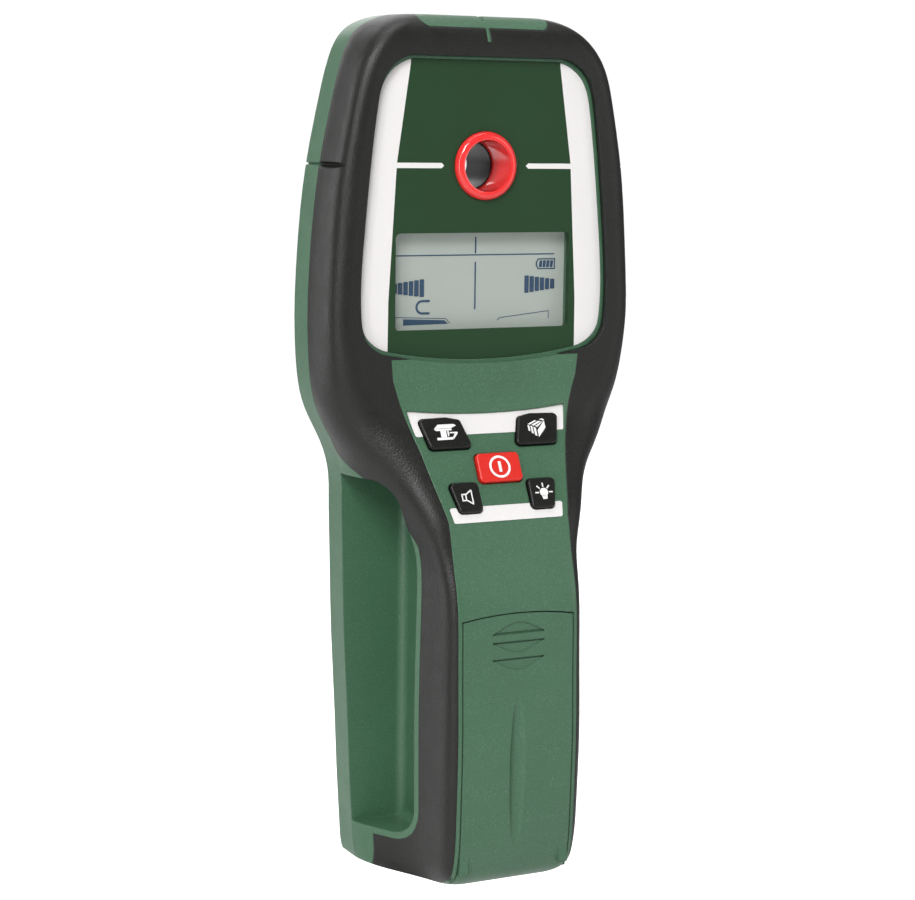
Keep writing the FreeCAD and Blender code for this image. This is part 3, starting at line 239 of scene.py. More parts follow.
@dataclass(frozen=True)
class Finish:
    """One moulded, printed or metal finish.

    Colours are linear.  Lengths are in millimetres, grain sizes in cells to the metre.
    """

    name: str
    colour: Colour
    fleck_colour: Colour
    sheen: Sheen = Sheen.SATIN
    grain: float = 1500.0
    grain_depth: float = 0.02
    fleck_size: float = 2600.0
    fleck: float = 0.3
    mottle: float = 0.12
    dust: float = 0.05
    metallic: float = 0.0
    coat: float = 0.0
    alpha: float = 1.0
    round_edge: float = 0.0
    glow: float = 0.0
    specular: float = 0.5
    inside: float = 0.0
    coat_rough: float = 0.08
    bump_strength: float = 0.5
    rough_spread: Point = (-0.05, 0.07)
    least_rough: float = 0.03
    bleed: Colour = (0.004, 0.0006, 0.0004)
    powder: Colour = (0.62, 0.61, 0.58)
    edge_samples: int = 6

    def make(self, effects: Effects) -> bpy.types.Material:
        """Builds the material.

        Args:
            effects: the shared node groups.

        Returns:
            The finished material.
        """
        material = bpy.data.materials.new(self.name)
        material.use_nodes = True
        tree = material.node_tree
        shader = tree.nodes["Principled BSDF"]
        self._set_constants(shader)
        mould = tree.nodes.new("ShaderNodeGroup")
        mould.node_tree = effects.moulding
        mould.inputs["Grain"].default_value = self.grain
        mould.inputs["Fleck Size"].default_value = self.fleck_size
        dust = tree.nodes.new("ShaderNodeGroup")
        dust.node_tree = effects.dust
        dust.inputs["Amount"].default_value = self.dust
        wire(tree, self._colouring(tree, mould, dust), shader.inputs["Base Color"])
        rough = tree.nodes.new("ShaderNodeMapRange")
        smoother, rougher = self.rough_spread
        rough.inputs["To Min"].default_value = max(self.least_rough, self.sheen.value + smoother)
        rough.inputs["To Max"].default_value = self.sheen.value + rougher
        wire(tree, mould.outputs["Gloss"], rough.inputs["Value"])
        wire(tree, rough.outputs["Result"], shader.inputs["Roughness"])
        wire(tree, self._relief(tree, mould), shader.inputs["Normal"])
        return material

    def _set_constants(self, shader: bpy.types.Node) -> None:
        """Sets the inputs that are the same all over a piece.

        Args:
            shader: the material's shader.
        """
        shader.inputs["Metallic"].default_value = self.metallic
        shader.inputs["Coat Weight"].default_value = self.coat
        shader.inputs["Coat Roughness"].default_value = self.coat_rough
        shader.inputs["Specular IOR Level"].default_value = self.specular
        shader.inputs["Alpha"].default_value = self.alpha
        if self.inside > 0:
            shader.inputs["Subsurface Weight"].default_value = self.inside
            shader.inputs["Subsurface Radius"].default_value = self.bleed
            shader.inputs["Subsurface Scale"].default_value = 1.0
        if self.glow > 0:
            shader.inputs["Emission Color"].default_value = (*self.colour, 1.0)
            shader.inputs["Emission Strength"].default_value = self.glow

    def _colouring(self, tree: bpy.types.NodeTree, mould: bpy.types.Node,
                   dust: bpy.types.Node) -> bpy.types.NodeSocket:
        """Mixes the flecks, the mottle and the dust into the colour.

        Args:
            tree: the material's node tree.
            mould: the moulding effect's node.
            dust: the dust effect's node.

        Returns:
            The socket with the surface's colour.
        """
        base = self._tint(tree, mould.outputs["Fleck"], self.fleck, self.colour, self.fleck_colour)
        shade = tree.nodes.new("ShaderNodeMix")
        shade.data_type = "RGBA"
        shade.blend_type = "MULTIPLY"
        low = 1.0 - self.mottle
        shade.inputs[MIX_OVER].default_value = (low, low, low, 1.0)
        wire(tree, mould.outputs["Mottle"], shade.inputs[MIX_FACTOR])
        wire(tree, base, shade.inputs[MIX_BASE])
        powder = tree.nodes.new("ShaderNodeMix")
        powder.data_type = "RGBA"
        powder.inputs[MIX_OVER].default_value = (*self.powder, 1.0)
        wire(tree, dust.outputs["Dust"], powder.inputs[MIX_FACTOR])
        wire(tree, shade.outputs[MIX_RESULT], powder.inputs[MIX_BASE])
        return powder.outputs[MIX_RESULT]

    def _relief(self, tree: bpy.types.NodeTree, mould: bpy.types.Node) -> bpy.types.NodeSocket:
        """Raises the grain and softens the edges in the shading.

        Args:
            tree: the material's node tree.
            mould: the moulding effect's node.

        Returns:
            The socket with the surface's normal.
        """
        bump = tree.nodes.new("ShaderNodeBump")
        bump.inputs["Strength"].default_value = self.bump_strength
        bump.inputs["Distance"].default_value = self.grain_depth * MM
        wire(tree, mould.outputs["Height"], bump.inputs["Height"])
        if self.round_edge > 0:
            bevel = tree.nodes.new("ShaderNodeBevel")
            bevel.samples = self.edge_samples
            bevel.inputs["Radius"].default_value = self.round_edge * MM
            wire(tree, bevel.outputs["Normal"], bump.inputs["Normal"])
        return bump.outputs["Normal"]

    @staticmethod
    def _tint(tree: bpy.types.NodeTree, mask: bpy.types.NodeSocket, amount: float, one: Colour,
              other: Colour) -> bpy.types.NodeSocket:
        """Mixes a second colour in where a mask says so.

        Args:
            tree: the material's node tree.
            mask: the mask's socket.
            amount: the most that the second colour counts for.
            one: the main colour.
            other: the second colour.

        Returns:
            The socket with the mixed colour.
        """
        limit = multiply(tree, mask)
        limit.inputs[1].default_value = amount
        mixer = tree.nodes.new("ShaderNodeMix")
        mixer.data_type = "RGBA"
        mixer.inputs[MIX_BASE].default_value = (*one, 1.0)
        mixer.inputs[MIX_OVER].default_value = (*other, 1.0)
        wire(tree, limit.outputs[0], mixer.inputs[MIX_FACTOR])
        return mixer.outputs[MIX_RESULT]


class Finishes:
    """Every finish of the tool, made once and shared by its pieces."""

    def __init__(self) -> None:
        """Builds the materials."""
        effects = Effects()
        green = (0.051, 0.132, 0.071)
        pale_green = (0.17, 0.32, 0.22)
        recipes = (
            Finish("shell_green", green, pale_green, Sheen.SATIN, grain=2600, grain_depth=0.05,
                   fleck_size=3800, fleck=0.40, mottle=0.10, round_edge=0.5),
            Finish("grip_black", (0.006, 0.006, 0.005), (0.03, 0.03, 0.028), Sheen.RUBBER, grain=2400,
                   grain_depth=0.10, fleck_size=3800, fleck=0.35, mottle=0.15, dust=0.02, round_edge=0.5,
                   specular=0.45),
            Finish("label_green", (0.012, 0.046, 0.015), (0.02, 0.06, 0.022), Sheen.MATTE, grain=2600,
                   grain_depth=0.002, fleck_size=3000, fleck=0.25, mottle=0.06, dust=0.0, specular=0.3),
            Finish("trim_white", (0.80, 0.78, 0.77), (0.62, 0.62, 0.63), Sheen.SATIN, grain=2400,
                   grain_depth=0.01, fleck_size=4200, fleck=0.5, mottle=0.04, dust=0.0),
            Finish("ring_red", (0.80, 0.030, 0.030), (0.86, 0.06, 0.05), Sheen.GLOSS, grain=700,
                   grain_depth=0.004, fleck_size=900, fleck=0.2, mottle=0.10, dust=0.0, coat=0.6,
                   inside=0.35, glow=0.10),
            Finish("key_black", (0.007, 0.007, 0.006), (0.02, 0.02, 0.02), Sheen.SATIN, grain=2200,
                   grain_depth=0.02, fleck_size=2600, fleck=0.3, mottle=0.1, dust=0.02, round_edge=0.3,
                   specular=0.35),
            Finish("key_red", (0.72, 0.018, 0.010), (0.80, 0.06, 0.04), Sheen.SATIN, grain=2200,
                   grain_depth=0.015, fleck_size=2600, fleck=0.3, mottle=0.08, round_edge=0.3),
            Finish("print_white", (0.86, 0.86, 0.85), (0.75, 0.75, 0.75), Sheen.MATTE, grain=2400,
                   grain_depth=0.004, fleck_size=3000, fleck=0.3, mottle=0.03, dust=0.0),
            Finish("window_clear", (0.05, 0.06, 0.05), (0.06, 0.06, 0.06), Sheen.GLOSS, grain=500,
                   grain_depth=0.0005, fleck_size=900, fleck=0.1, mottle=0.02, dust=0.0, alpha=0.06),
            Finish("display_grey", (0.44, 0.485, 0.45), (0.47, 0.51, 0.47), Sheen.MATTE, grain=3200,
                   grain_depth=0.0002, fleck_size=3600, fleck=0.3, mottle=0.05, dust=0.0, glow=0.10,
                   specular=0.2),
            Finish("segment_blue", (0.050, 0.095, 0.165), (0.06, 0.11, 0.19), Sheen.MATTE, grain=3200,
                   grain_depth=0.0002, fleck_size=3600, fleck=0.2, mottle=0.05, dust=0.0, specular=0.1),
            Finish("tube_black", (0.012, 0.012, 0.012), (0.03, 0.03, 0.03), Sheen.SATIN, grain=1800,
                   grain_depth=0.02, fleck_size=2600, fleck=0.3, mottle=0.1, dust=0.0),
            Finish("board_green", (0.010, 0.090, 0.035), (0.03, 0.14, 0.06), Sheen.SATIN, grain=900,
                   grain_depth=0.01, fleck_size=1400, fleck=0.4, mottle=0.2, dust=0.0, coat=0.3),
            Finish("copper", (0.75, 0.36, 0.20), (0.60, 0.28, 0.15), Sheen.GLOSS, grain=900,
                   grain_depth=0.01, fleck_size=1200, fleck=0.4, mottle=0.15, dust=0.0, metallic=1.0),
            Finish("steel", (0.52, 0.52, 0.54), (0.40, 0.40, 0.42), Sheen.GLOSS, grain=1300,
                   grain_depth=0.01, fleck_size=1800, fleck=0.4, mottle=0.12, dust=0.0, metallic=1.0,
                   round_edge=0.1),
            Finish("battery_skin", (0.03, 0.03, 0.035), (0.05, 0.05, 0.06), Sheen.SATIN, grain=900,
                   grain_depth=0.01, fleck_size=1200, fleck=0.3, mottle=0.1, dust=0.0, round_edge=0.3),
            Finish("foam_grey", (0.06, 0.06, 0.06), (0.11, 0.11, 0.11), Sheen.MATTE, grain=700,
                   grain_depth=0.2, fleck_size=900, fleck=0.6, mottle=0.2, dust=0.0),
            Finish("glide_grey", (0.045, 0.045, 0.045), (0.09, 0.09, 0.09), Sheen.SATIN, grain=1100,
                   grain_depth=0.02, fleck_size=1500, fleck=0.4, mottle=0.1, round_edge=0.2),
            Finish("plate_silver", (0.45, 0.45, 0.46), (0.35, 0.35, 0.36), Sheen.SATIN, grain=1600,
                   grain_depth=0.006, fleck_size=2400, fleck=0.4, mottle=0.06, metallic=0.6),
        )
        self._made: Dict[str, bpy.types.Material] = {
            recipe.name: recipe.make(effects) for recipe in recipes}

    def get(self, name: str) -> bpy.types.Material:
        """Gives a finish by its name."""
        return self._made[name]


def dress(piece: bpy.types.Object, material: bpy.types.Material) -> None:
    """Gives every face of a piece one material.

    Args:
        piece: the piece.
        material: its material.
    """
    if not piece.data.materials:
        piece.data.materials.append(material)
    for index in range(len(piece.data.materials)):
        piece.data.materials[index] = material


def deselect() -> None:
    """Leaves nothing selected and no object in edit mode."""
    if bpy.context.object and bpy.context.object.mode != "OBJECT":
        bpy.ops.object.mode_set(mode="OBJECT")
    bpy.ops.object.select_all(action="DESELECT")


@dataclass
class Slabs:
    """Thin flat shapes drawn on a surface, in millimetres across (u) and up (v) from its centre."""

    name: str
    thick: float = 0.05
    made: List[bpy.types.Object] = field(default_factory=list)
    edge_share: float = 0.12
    ring_steps: int = 48
    band_steps: int = 8
    disc_steps: int = 32

    def _keep(self) -> bpy.types.Object:
        """Takes the object that was just added."""
        item = bpy.context.object
        self.made.append(item)
        return item

    def bar(self, u: float, v: float, wide: float, tall: float, turn: float = 0.0) -> None:
        """Adds a flat bar.

        Args:
            u: its centre across.
            v: its centre up.
            wide: its size across.
            tall: its size up.
            turn: its turn in degrees, counter-clockwise.
        """
        deselect()
        bpy.ops.mesh.primitive_cube_add(size=1.0, location=(u, v, self.thick / 2),
                                        rotation=(0.0, 0.0, math.radians(turn)))
        item = self._keep()
        item.scale = (wide, tall, self.thick)
        bpy.ops.object.transform_apply(location=True, rotation=True, scale=True)
        bpy.ops.object.mode_set(mode="EDIT")
        bpy.ops.mesh.select_all(action="SELECT")
        bpy.ops.mesh.bevel(offset=min(wide, tall) * self.edge_share, segments=2)
        bpy.ops.object.mode_set(mode="OBJECT")

    def patch(self, points: Sequence[Point]) -> None:
        """Adds a flat patch with the given corners, drawn from a disc that is pulled to them.

        Args:
            points: the corners, in order.
        """
        deselect()
        bpy.ops.mesh.primitive_circle_add(vertices=len(points), fill_type="NGON")
        item = self._keep()
        for corner, (u, v) in zip(item.data.vertices, points):
            corner.co = (u, v, 0.0)
        bpy.ops.object.mode_set(mode="EDIT")
        bpy.ops.mesh.select_all(action="SELECT")
        bpy.ops.mesh.extrude_region_move(TRANSFORM_OT_translate={"value": (0.0, 0.0, self.thick)})
        bpy.ops.mesh.select_all(action="SELECT")
        bpy.ops.mesh.normals_make_consistent(inside=False)
        bpy.ops.object.mode_set(mode="OBJECT")

    def ring(self, u: float, v: float, radius: float, width: float) -> None:
        """Adds a flat ring.

        Args:
            u: its centre across.
            v: its centre up.
            radius: its middle radius.
            width: how wide its band is.
        """
        deselect()
        middle = (u, v, self.thick / 2)
        bpy.ops.mesh.primitive_torus_add(major_radius=radius, minor_radius=width / 2, location=middle,
                                         major_segments=self.ring_steps, minor_segments=self.band_steps)
        self._keep()
        bpy.ops.object.transform_apply(location=True, rotation=True, scale=True)
        bpy.ops.object.mode_set(mode="EDIT")
        bpy.ops.mesh.select_all(action="SELECT")
        bpy.ops.transform.resize(value=(1.0, 1.0, self.thick / width), center_override=middle)
        bpy.ops.object.mode_set(mode="OBJECT")

    def disc(self, u: float, v: float, radius: float) -> None:
        """Adds a flat round spot.

        Args:
            u: its centre across.
            v: its centre up.
            radius: its radius.
        """
        steps = [math.tau * number / self.disc_steps for number in range(self.disc_steps)]
        self.patch([(u + radius * math.cos(a), v + radius * math.sin(a)) for a in steps])

    def place(self, at: Matrix, material: bpy.types.Material, body: str, slot: str) -> bpy.types.Object:
        """Joins the shapes into one piece on its surface.

        Args:
            at: the surface's matrix, in metres, with u, v and the way out as its axes.
            material: the print's material.
            body: the body that the piece rides on.
            slot: the record's material slot; not used.

        Returns:
            The finished piece.
        """
        deselect()
        for item in self.made:
            item.select_set(True)
        bpy.context.view_layer.objects.active = self.made[0]
        if len(self.made) > 1:
            bpy.ops.object.join()
        piece = self.made[0]
        piece.name = self.name
        piece.data.name = self.name
        piece.data.transform(at @ Matrix.Scale(MM, 4))
        dress(piece, material)
        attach(piece, body)
        self.made = []
        LOG.info("%s: %d faces on %s", piece.name, len(piece.data.polygons), body)
        return piece


def surface(origin: Vector, across: Vector, up: Vector) -> Matrix:
    """Matrix of a flat surface from its origin and two of its directions.

    Args:
        origin: the surface's centre, in metres.
        across: the unit vector across it.
        up: the unit vector up it.

    Returns:
        The matrix whose third axis points out of the surface.
    """
    out = across.cross(up)
    matrix = Matrix((across, up, out)).transposed().to_4x4()
    matrix.translation = origin
    return matrix


@dataclass
class Pieces:
    """Pieces of the frame that only need their finishes."""

    coats: Dict[str, str]

    def build(self, finishes: Finishes) -> None:
        """Dresses the pieces.

        Args:
            finishes: the tool's finishes.
        """
        for name, coat in self.coats.items():
            dress(frame["nodes"][name], finishes.get(coat))
            LOG.info("%s: %s", name, coat)


@dataclass
class Shells(Pieces):
    """The hard shells, the soft grip and the sole."""

    coats: Dict[str, str] = field(default_factory=lambda: {
        "housing": "shell_green", "grip_overmould": "grip_black", "back_cover": "shell_green",
        "battery_door": "shell_green", "glide_pads": "glide_grey", "rating_plate": "plate_silver",
        "cover_screws": "steel", "bore_tube": "tube_black", "light_ring": "ring_red",
        "label_panel": "label_green", "side_trim_left": "trim_white", "side_trim_right": "trim_white",
        "keypad_inlay_upper": "trim_white", "keypad_inlay_lower": "trim_white"})


@dataclass
class InnerWorks(Pieces):
    """The boards, sensors, battery and what holds them."""

    coats: Dict[str, str] = field(default_factory=lambda: {
        "main_board": "board_green", "sensor_board": "board_green", "keypad_board": "board_green",
        "tact_switches": "tube_black", "microcontroller": "tube_black", "buzzer": "tube_black",
        "ring_leds": "ring_red", "sensor_coil": "copper", "sensor_plates": "copper",
        "board_spacers": "tube_black", "board_screws": "steel", "battery_9v": "battery_skin",
        "battery_terminals": "steel", "battery_clip": "tube_black", "battery_foam": "foam_grey",
        "lcd_backlight": "print_white"})


@dataclass
class Display:
    """The glass with its symbols behind the clear window.

    Sizes are in millimetres.  Places are shares of the window's width and height from its upper left.
    """

    lift: float = 0.01
    line: float = 0.40
    stroke: float = 0.2
    steps: int = 6
    step_wide: float = 1.18
    step_gap: float = 0.32
    least_step: float = 2.5
    step_growth: float = 0.38
    centre: float = 0.488
    battery_at: Point = (0.903, -0.34)
    magnet_at: Point = (0.19, -0.775)
    cells: int = 4

    def build(self, finishes: Finishes) -> None:
        """Dresses the display and draws its symbols.

        Args:
            finishes: the tool's finishes.
        """
        dress(frame["nodes"]["lcd_module"], finishes.get("display_grey"))
        dress(frame["nodes"]["display_window"], finishes.get("window_clear"))
        low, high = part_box("display_window")
        glass_low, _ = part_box("lcd_module")
        wide = (high.x - low.x) / MM
        tall = (high.z - low.z) / MM
        origin = Vector((low.x, glass_low.y - self.lift * MM, high.z))
        at = surface(origin, Vector((1, 0, 0)), Vector((0, 0, 1)))
        drawing = Slabs("display_symbols", 0.03)
        self._lines(drawing, wide, tall)
        self._scales(drawing, wide, tall)
        self._battery(drawing, self.battery_at[0] * wide, self.battery_at[1] * tall)
        self._magnet(drawing, self.magnet_at[0] * wide, self.magnet_at[1] * tall)
        self._ramps(drawing, wide, tall)
        drawing.place(at, finishes.get("segment_blue"), "case", "lcd_glass")

    def _lines(self, drawing: Slabs, wide: float, tall: float) -> None:
        """Draws the long line under the top field and the centre line.

        Args:
            drawing: the drawing that gets them.
            wide: the window's width.
            tall: the window's height.
        """
        drawing.bar(0.48 * wide, -0.235 * tall, 0.95 * wide, self.line * 0.8)
        drawing.bar(self.centre * wide, -0.132 * tall, self.line, 0.175 * tall)
        drawing.bar(self.centre * wide, -0.56 * tall, self.line, 0.50 * tall)

    def _scales(self, drawing: Slabs, wide: float, tall: float) -> None:
        """Draws the two stepped scales, tallest towards the centre.

        Args:
            drawing: the drawing that gets them.
            wide: the window's width.
            tall: the window's height.
        """
        pitch = self.step_wide + self.step_gap
        for number in range(self.steps):
            height = self.least_step + self.step_growth * number
            drawing.bar(0.015 * wide + pitch * (number + 0.4), -0.575 * tall, self.step_wide, height)
            drawing.bar(0.957 * wide - pitch * (number + 0.4), -0.555 * tall, self.step_wide, height)

    def _battery(self, drawing: Slabs, u: float, v: float) -> None:
        """Draws the battery symbol around a centre.

        Args:
            drawing: the drawing that gets it.
            u: the centre across.
            v: the centre up.
        """
        for side in (-1, 1):
            drawing.bar(u + 0.25, v + side * 1.25, 4.8, 0.32)
            drawing.bar(u - 2.35, v + side * 0.9, 0.95, 0.32, 60.0 * side)
        drawing.bar(u + 2.6, v, 0.35, 2.8)
        drawing.bar(u - 2.65, v, 0.4, 1.3)
        for number in range(self.cells):
            drawing.bar(u - 1.45 + 1.05 * number, v, 0.8, 1.75, -8.0)

    def _magnet(self, drawing: Slabs, u: float, v: float) -> None:
        """Draws the horseshoe magnet symbol around a centre.

        Args:
            drawing: the drawing that gets it.
            u: the centre across.
            v: the centre up.
        """
        steps = [math.radians(90 + 18 * number) for number in range(11)]
        outer = [(u - 0.3 + 1.85 * math.cos(a), v + 1.85 * math.sin(a)) for a in steps]
        inner = [(u - 0.3 + 1.25 * math.cos(a), v + 1.25 * math.sin(a)) for a in steps]
        for number in range(len(steps) - 1):
            drawing.patch([outer[number], outer[number + 1], inner[number + 1], inner[number]])
        drawing.bar(u + 0.75, v + 1.55, 2.1, 0.6)
        drawing.bar(u + 0.75, v - 1.55, 2.1, 0.6)

    def _ramps(self, drawing: Slabs, wide: float, tall: float) -> None:
        """Draws the filled ramp at the lower left and the open ramp at the lower right.

        Args:
            drawing: the drawing that gets them.
            wide: the window's width.
            tall: the window's height.
        """
        spots = ((0.077, -0.895), (0.077, -0.962), (0.335, -0.955), (0.312, -0.915))
        drawing.patch([(u * wide, v * tall) for u, v in spots])
        outlines = (((0.032, -0.96), (0.032, -0.875), (0.32, -0.90), (0.345, -0.95)),
                    ((0.620, -0.93), (0.637, -0.905), (0.925, -0.845), (0.925, -0.925)))
        for outline in outlines:
            for start, end in zip(outline, outline[1:]):
                self._stroke(drawing, (start[0] * wide, start[1] * tall), (end[0] * wide, end[1] * tall))

    def _stroke(self, drawing: Slabs, start: Point, end: Point) -> None:
        """Draws one straight stroke, a quarter of its width over each end.

        Args:
            drawing: the drawing that gets it.
            start: where it starts.
            end: where it ends.
        """
        length = math.dist(start, end) + self.stroke / 2
        turn = math.degrees(math.atan2(end[1] - start[1], end[0] - start[0]))
        drawing.bar((start[0] + end[0]) / 2, (start[1] + end[1]) / 2, length, self.stroke, turn)


class Key(Enum):
    """The keys, by the node that each one is."""

    METAL = "button_metal"
    DRYWALL = "button_drywall"
    POWER = "button_power"
    SOUND = "button_sound"
    LIGHT = "button_light"


@dataclass
class Keypad:
    """The five keys and their prints; sizes in millimetres."""

    print_thick: float = 0.06
    print_lift: float = 0.005
    flat_within: float = 0.02
    rays: int = 5

    def build(self, finishes: Finishes) -> None:
        """Dresses the keys and prints their symbols.

        Args:
            finishes: the tool's finishes.
        """
        presses = {entry["name"]: entry for entry in frame["record"]["behaviour"]["joints"]}
        for key in Key:
            finish = "key_red" if key is Key.POWER else "key_black"
            dress(frame["nodes"][key.value], finishes.get(finish))
            out = -Vector(presses[key.value + "_press"]["axis"])
            at = self._top(key, out)
            print_on = Slabs(key.value + "_print", self.print_thick)
            self._draw(key, print_on)
            slot = "button_red" if key is Key.POWER else "button_black"
            print_on.place(at, finishes.get("print_white"), key.value + "_body", slot)

    def _top(self, key: Key, out: Vector) -> Matrix:
        """Finds the surface of a key's top.

        Args:
            key: the key.
            out: the unit vector out of the keypad.

        Returns:
            The surface's matrix.
        """
        corners = [corner.co.copy() for corner in frame["nodes"][key.value].data.vertices]
        level = max(corner.dot(out) for corner in corners)
        flat = [corner for corner in corners if level - corner.dot(out) < self.flat_within * MM]
        low = Vector(min(corner[axis] for corner in flat) for axis in range(3))
        high = Vector(max(corner[axis] for corner in flat) for axis in range(3))
        across = Vector((1.0, 0.0, 0.0))
        return surface((low + high) / 2 + out * self.print_lift * MM, across, out.cross(across))

    def _draw(self, key: Key, to: Slabs) -> None:
        """Draws a key's symbol.

        Args:
            key: the key.
            to: the drawing that gets it.
        """
        if key is Key.METAL:
            self._beam(to)
        elif key is Key.DRYWALL:
            self._stack(to)
        elif key is Key.POWER:
            to.ring(0.0, 0.0, 2.65, 0.62)
            to.bar(0.0, 0.0, 0.75, 2.8)
        elif key is Key.SOUND:
            self._speaker(to)
        else:
            self._bulb(to)

    @staticmethod
    def _beam(to: Slabs) -> None:
        """Draws the steel beam, seen from its end.

        Args:
            to: the drawing that gets it.
        """
        to.patch([(-3.1, 1.15), (-1.9, 2.2), (2.6, 2.2), (3.1, 1.75), (1.6, 1.15)])
        to.patch([(-3.1, 1.05), (1.7, 1.05), (1.7, 0.55), (-0.3, 0.55), (-2.7, 0.55)])
        to.patch([(-1.5, 0.5), (0.1, 0.5), (0.1, -1.2), (-1.5, -1.2)])
        to.patch([(0.4, 0.45), (0.8, 0.45), (0.8, -0.7), (0.4, -1.1)])
        to.patch([(-2.7, -1.25), (1.7, -1.25), (1.7, -1.9), (-2.7, -1.9)])
        to.patch([(1.8, -1.85), (3.2, -0.3), (3.2, 0.1), (1.0, 0.1), (1.0, -0.2), (2.4, -0.3), (1.8, -1.1)])

    @staticmethod
    def _stack(to: Slabs) -> None:
        """Draws the wall built up of boards on a profile.

        Args:
            to: the drawing that gets it.
        """
        to.patch([(-0.1, -2.5), (2.3, 0.0), (2.3, 1.9), (-0.1, -0.6)])
        to.patch([(-2.7, 0.9), (-2.7, -0.6), (-2.2, -0.8), (-2.2, 0.7)])
        to.patch([(-1.9, 0.65), (-1.9, -1.3), (-1.4, -1.5), (-1.4, 0.45)])
        to.patch([(-1.1, 0.35), (-1.1, -1.9), (-0.5, -2.2), (-0.5, 0.0)])
        to.patch([(-2.6, 1.15), (-0.4, 2.1), (0.1, 1.9), (-2.1, 0.95)])
        to.patch([(-1.6, 0.85), (0.7, 1.9), (1.4, 1.7), (-0.9, 0.65)])
        to.patch([(-0.6, 0.5), (1.6, 1.6), (2.1, 1.9), (0.9, 2.3), (1.9, 2.5), (2.4, 2.1), (0.0, 0.2)])

    @staticmethod
    def _speaker(to: Slabs) -> None:
        """Draws the loudspeaker in outline.

        Args:
            to: the drawing that gets it.
        """
        to.bar(-1.35, 0.0, 0.34, 1.75)
        to.bar(-0.35, 0.0, 0.34, 1.75)
        to.bar(-0.85, 0.8, 1.3, 0.34)
        to.bar(-0.85, -0.8, 1.3, 0.34)
        to.bar(0.55, 1.3, 2.0, 0.34, 34.0)
        to.bar(0.55, -1.3, 2.0, 0.34, -34.0)
        to.bar(1.35, 0.0, 0.34, 3.7)

    def _bulb(self, to: Slabs) -> None:
        """Draws the light bulb with its rays.

        Args:
            to: the drawing that gets it.
        """
        to.disc(0.0, 0.0, 1.15)
        to.patch([(-0.8, -0.7), (-0.6, -1.8), (0.6, -1.8), (0.8, -0.7)])
        for number in range(self.rays):
            turn = math.radians(45 * number)
            to.bar(1.95 * math.cos(turn), 1.95 * math.sin(turn), 1.1, 0.36, math.degrees(turn))


@dataclass(frozen=True)
class SoftBox:
    """One soft light; lengths in metres, power in watts."""

    name: str
    place: Place
    wide: float
    tall: float
    power: float
    aim: Place = (0.0, 0.0, 0.12)

    def hang(self) -> None:
        """Hangs the light and turns it towards its aim."""
        data = bpy.data.lights.new(self.name, "AREA")
        data.shape = "RECTANGLE"
        data.size, data.size_y = self.wide, self.tall
        data.energy = self.power
        lamp = bpy.data.objects.new(self.name, data)
        bpy.context.scene.collection.objects.link(lamp)
        lamp.location = self.place
        facing = Vector(self.aim) - Vector(self.place)
        lamp.rotation_euler = facing.to_track_quat("-Z", "Y").to_euler()


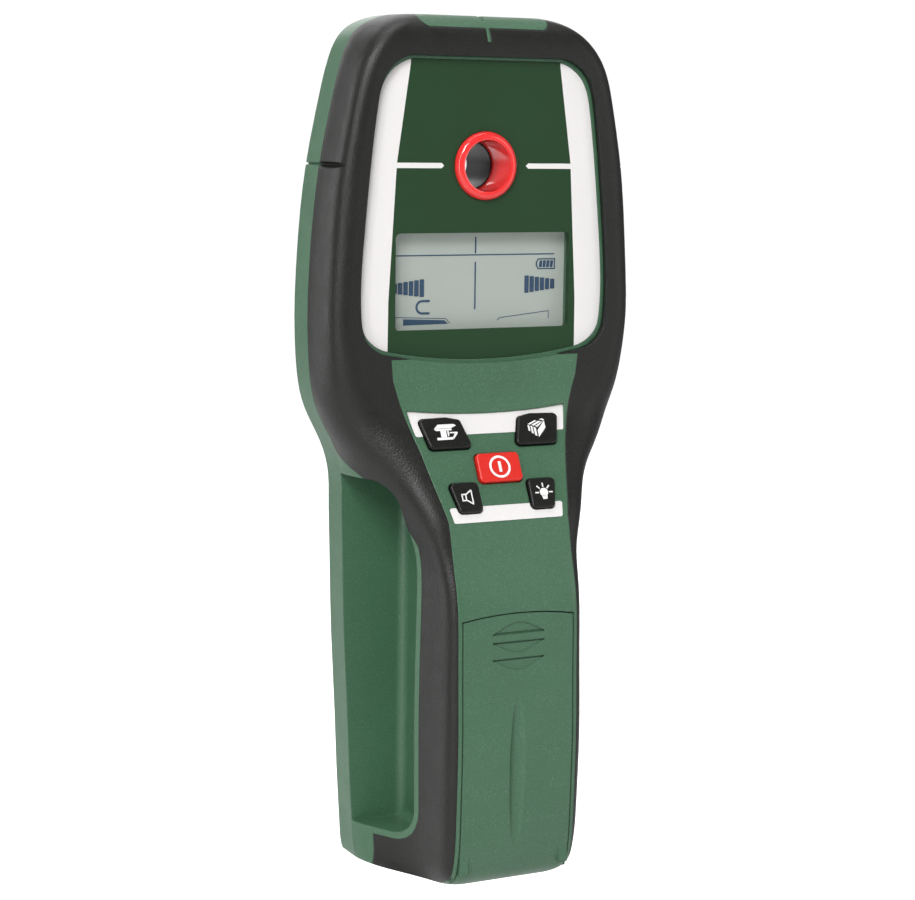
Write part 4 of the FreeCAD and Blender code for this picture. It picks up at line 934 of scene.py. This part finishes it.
@dataclass
class Studio:
    """The floor, the lights and the camera; lengths in metres.

    The floor lies below the foot by more than the battery door's travel, so that the open door is seen.
    """

    camera_azimuth: float = -26.574
    camera_elevation: float = 8.214
    camera_roll: float = 0.802
    camera_distance: float = 0.56626
    lens: float = 87.83
    sensor: float = 36.0
    clip: Point = (0.01, 60.0)
    target: Place = (-0.006694, 0.0, 0.108444)
    paper: Colour = (0.80, 0.80, 0.80)
    paper_rough: float = 0.9
    paper_specular: float = 0.1
    paper_glow: float = 0.84
    room_light: float = 0.24
    backdrop_light: float = 1.02
    floor_size: float = 30.0
    floor_level: float = -0.082
    lights: Tuple[SoftBox, ...] = (
        SoftBox("key_softbox", (-0.55, -0.75, 0.85), wide=0.34, tall=0.50, power=9.5),
        SoftBox("side_softbox", (-0.90, -0.60, 0.25), wide=0.12, tall=0.90, power=3.2),
        SoftBox("rim_softbox", (-0.80, 0.70, 0.35), wide=0.30, tall=0.90, power=3.5),
        SoftBox("fill_softbox", (0.85, -0.85, 0.35), wide=0.5, tall=0.8, power=2.2),
        SoftBox("top_softbox", (0.0, 0.05, 1.1), wide=0.7, tall=0.7, power=4.0, aim=(0.0, 0.0, 0.1)),
        SoftBox("back_softbox", (0.3, 1.0, 0.6), wide=0.8, tall=0.8, power=3.0),
    )

    def build(self) -> None:
        """Sets up the floor, the lights and the camera."""
        self._floor()
        self._world()
        for light in self.lights:
            light.hang()
        self._camera()

    def _floor(self) -> None:
        """Lays the pale floor."""
        deselect()
        bpy.ops.mesh.primitive_plane_add(size=self.floor_size, location=(0.0, 0.0, self.floor_level))
        floor = bpy.context.object
        floor.name = "floor"
        material = bpy.data.materials.new("floor_paper")
        material.use_nodes = True
        tree = material.node_tree
        plain = tree.nodes["Principled BSDF"]
        lit = tree.nodes.new("ShaderNodeBsdfPrincipled")
        for shader in (plain, lit):
            shader.inputs["Base Color"].default_value = (*self.paper, 1.0)
            shader.inputs["Roughness"].default_value = self.paper_rough
            shader.inputs["Specular IOR Level"].default_value = self.paper_specular
        lit.inputs["Emission Color"].default_value = WHITE
        lit.inputs["Emission Strength"].default_value = self.paper_glow
        choose_for_eye(tree, plain.outputs["BSDF"], lit.outputs["BSDF"],
                       tree.nodes["Material Output"].inputs["Surface"])
        floor.data.materials.append(material)

    def _world(self) -> None:
        """Lights the room evenly, with a backdrop that is white to look at."""
        world = bpy.data.worlds.new("studio")
        world.use_nodes = True
        tree = world.node_tree
        room = tree.nodes["Background"]
        room.inputs["Color"].default_value = WHITE
        room.inputs["Strength"].default_value = self.room_light
        backdrop = node(tree, "Background", Color=WHITE, Strength=self.backdrop_light)
        choose_for_eye(tree, room.outputs["Background"], backdrop.outputs["Background"],
                       tree.nodes["World Output"].inputs["Surface"])
        bpy.context.scene.world = world
        bpy.context.scene.view_settings.view_transform = "Standard"

    def _camera(self) -> None:
        """Places the camera."""
        azimuth = math.radians(self.camera_azimuth)
        elevation = math.radians(self.camera_elevation)
        roll = math.radians(self.camera_roll)
        level = math.cos(elevation)
        back = Vector((math.sin(azimuth) * level, -math.cos(azimuth) * level, math.sin(elevation)))
        right = (-back).cross(Vector((0, 0, 1))).normalized()
        up = right.cross(-back)
        turned_right = right * math.cos(roll) + up * math.sin(roll)
        turned_up = up * math.cos(roll) - right * math.sin(roll)
        data = bpy.data.cameras.new("camera")
        data.lens = self.lens
        data.sensor_width = self.sensor
        data.clip_start, data.clip_end = self.clip
        camera = bpy.data.objects.new("camera", data)
        bpy.context.scene.collection.objects.link(camera)
        matrix = Matrix((turned_right, turned_up, back)).transposed().to_4x4()
        matrix.translation = Vector(self.target) + back * self.camera_distance
        camera.matrix_world = matrix
        bpy.context.scene.camera = camera


def main() -> None:
    """Builds the studio and the tool, piece by piece."""
    logging.basicConfig(level=logging.INFO, format="%(name)s: %(message)s")
    finishes = Finishes()
    Studio().build()
    Shells().build(finishes)
    InnerWorks().build(finishes)
    Display().build(finishes)
    Keypad().build(finishes)
    deselect()


if __name__ == "__main__":
    main()
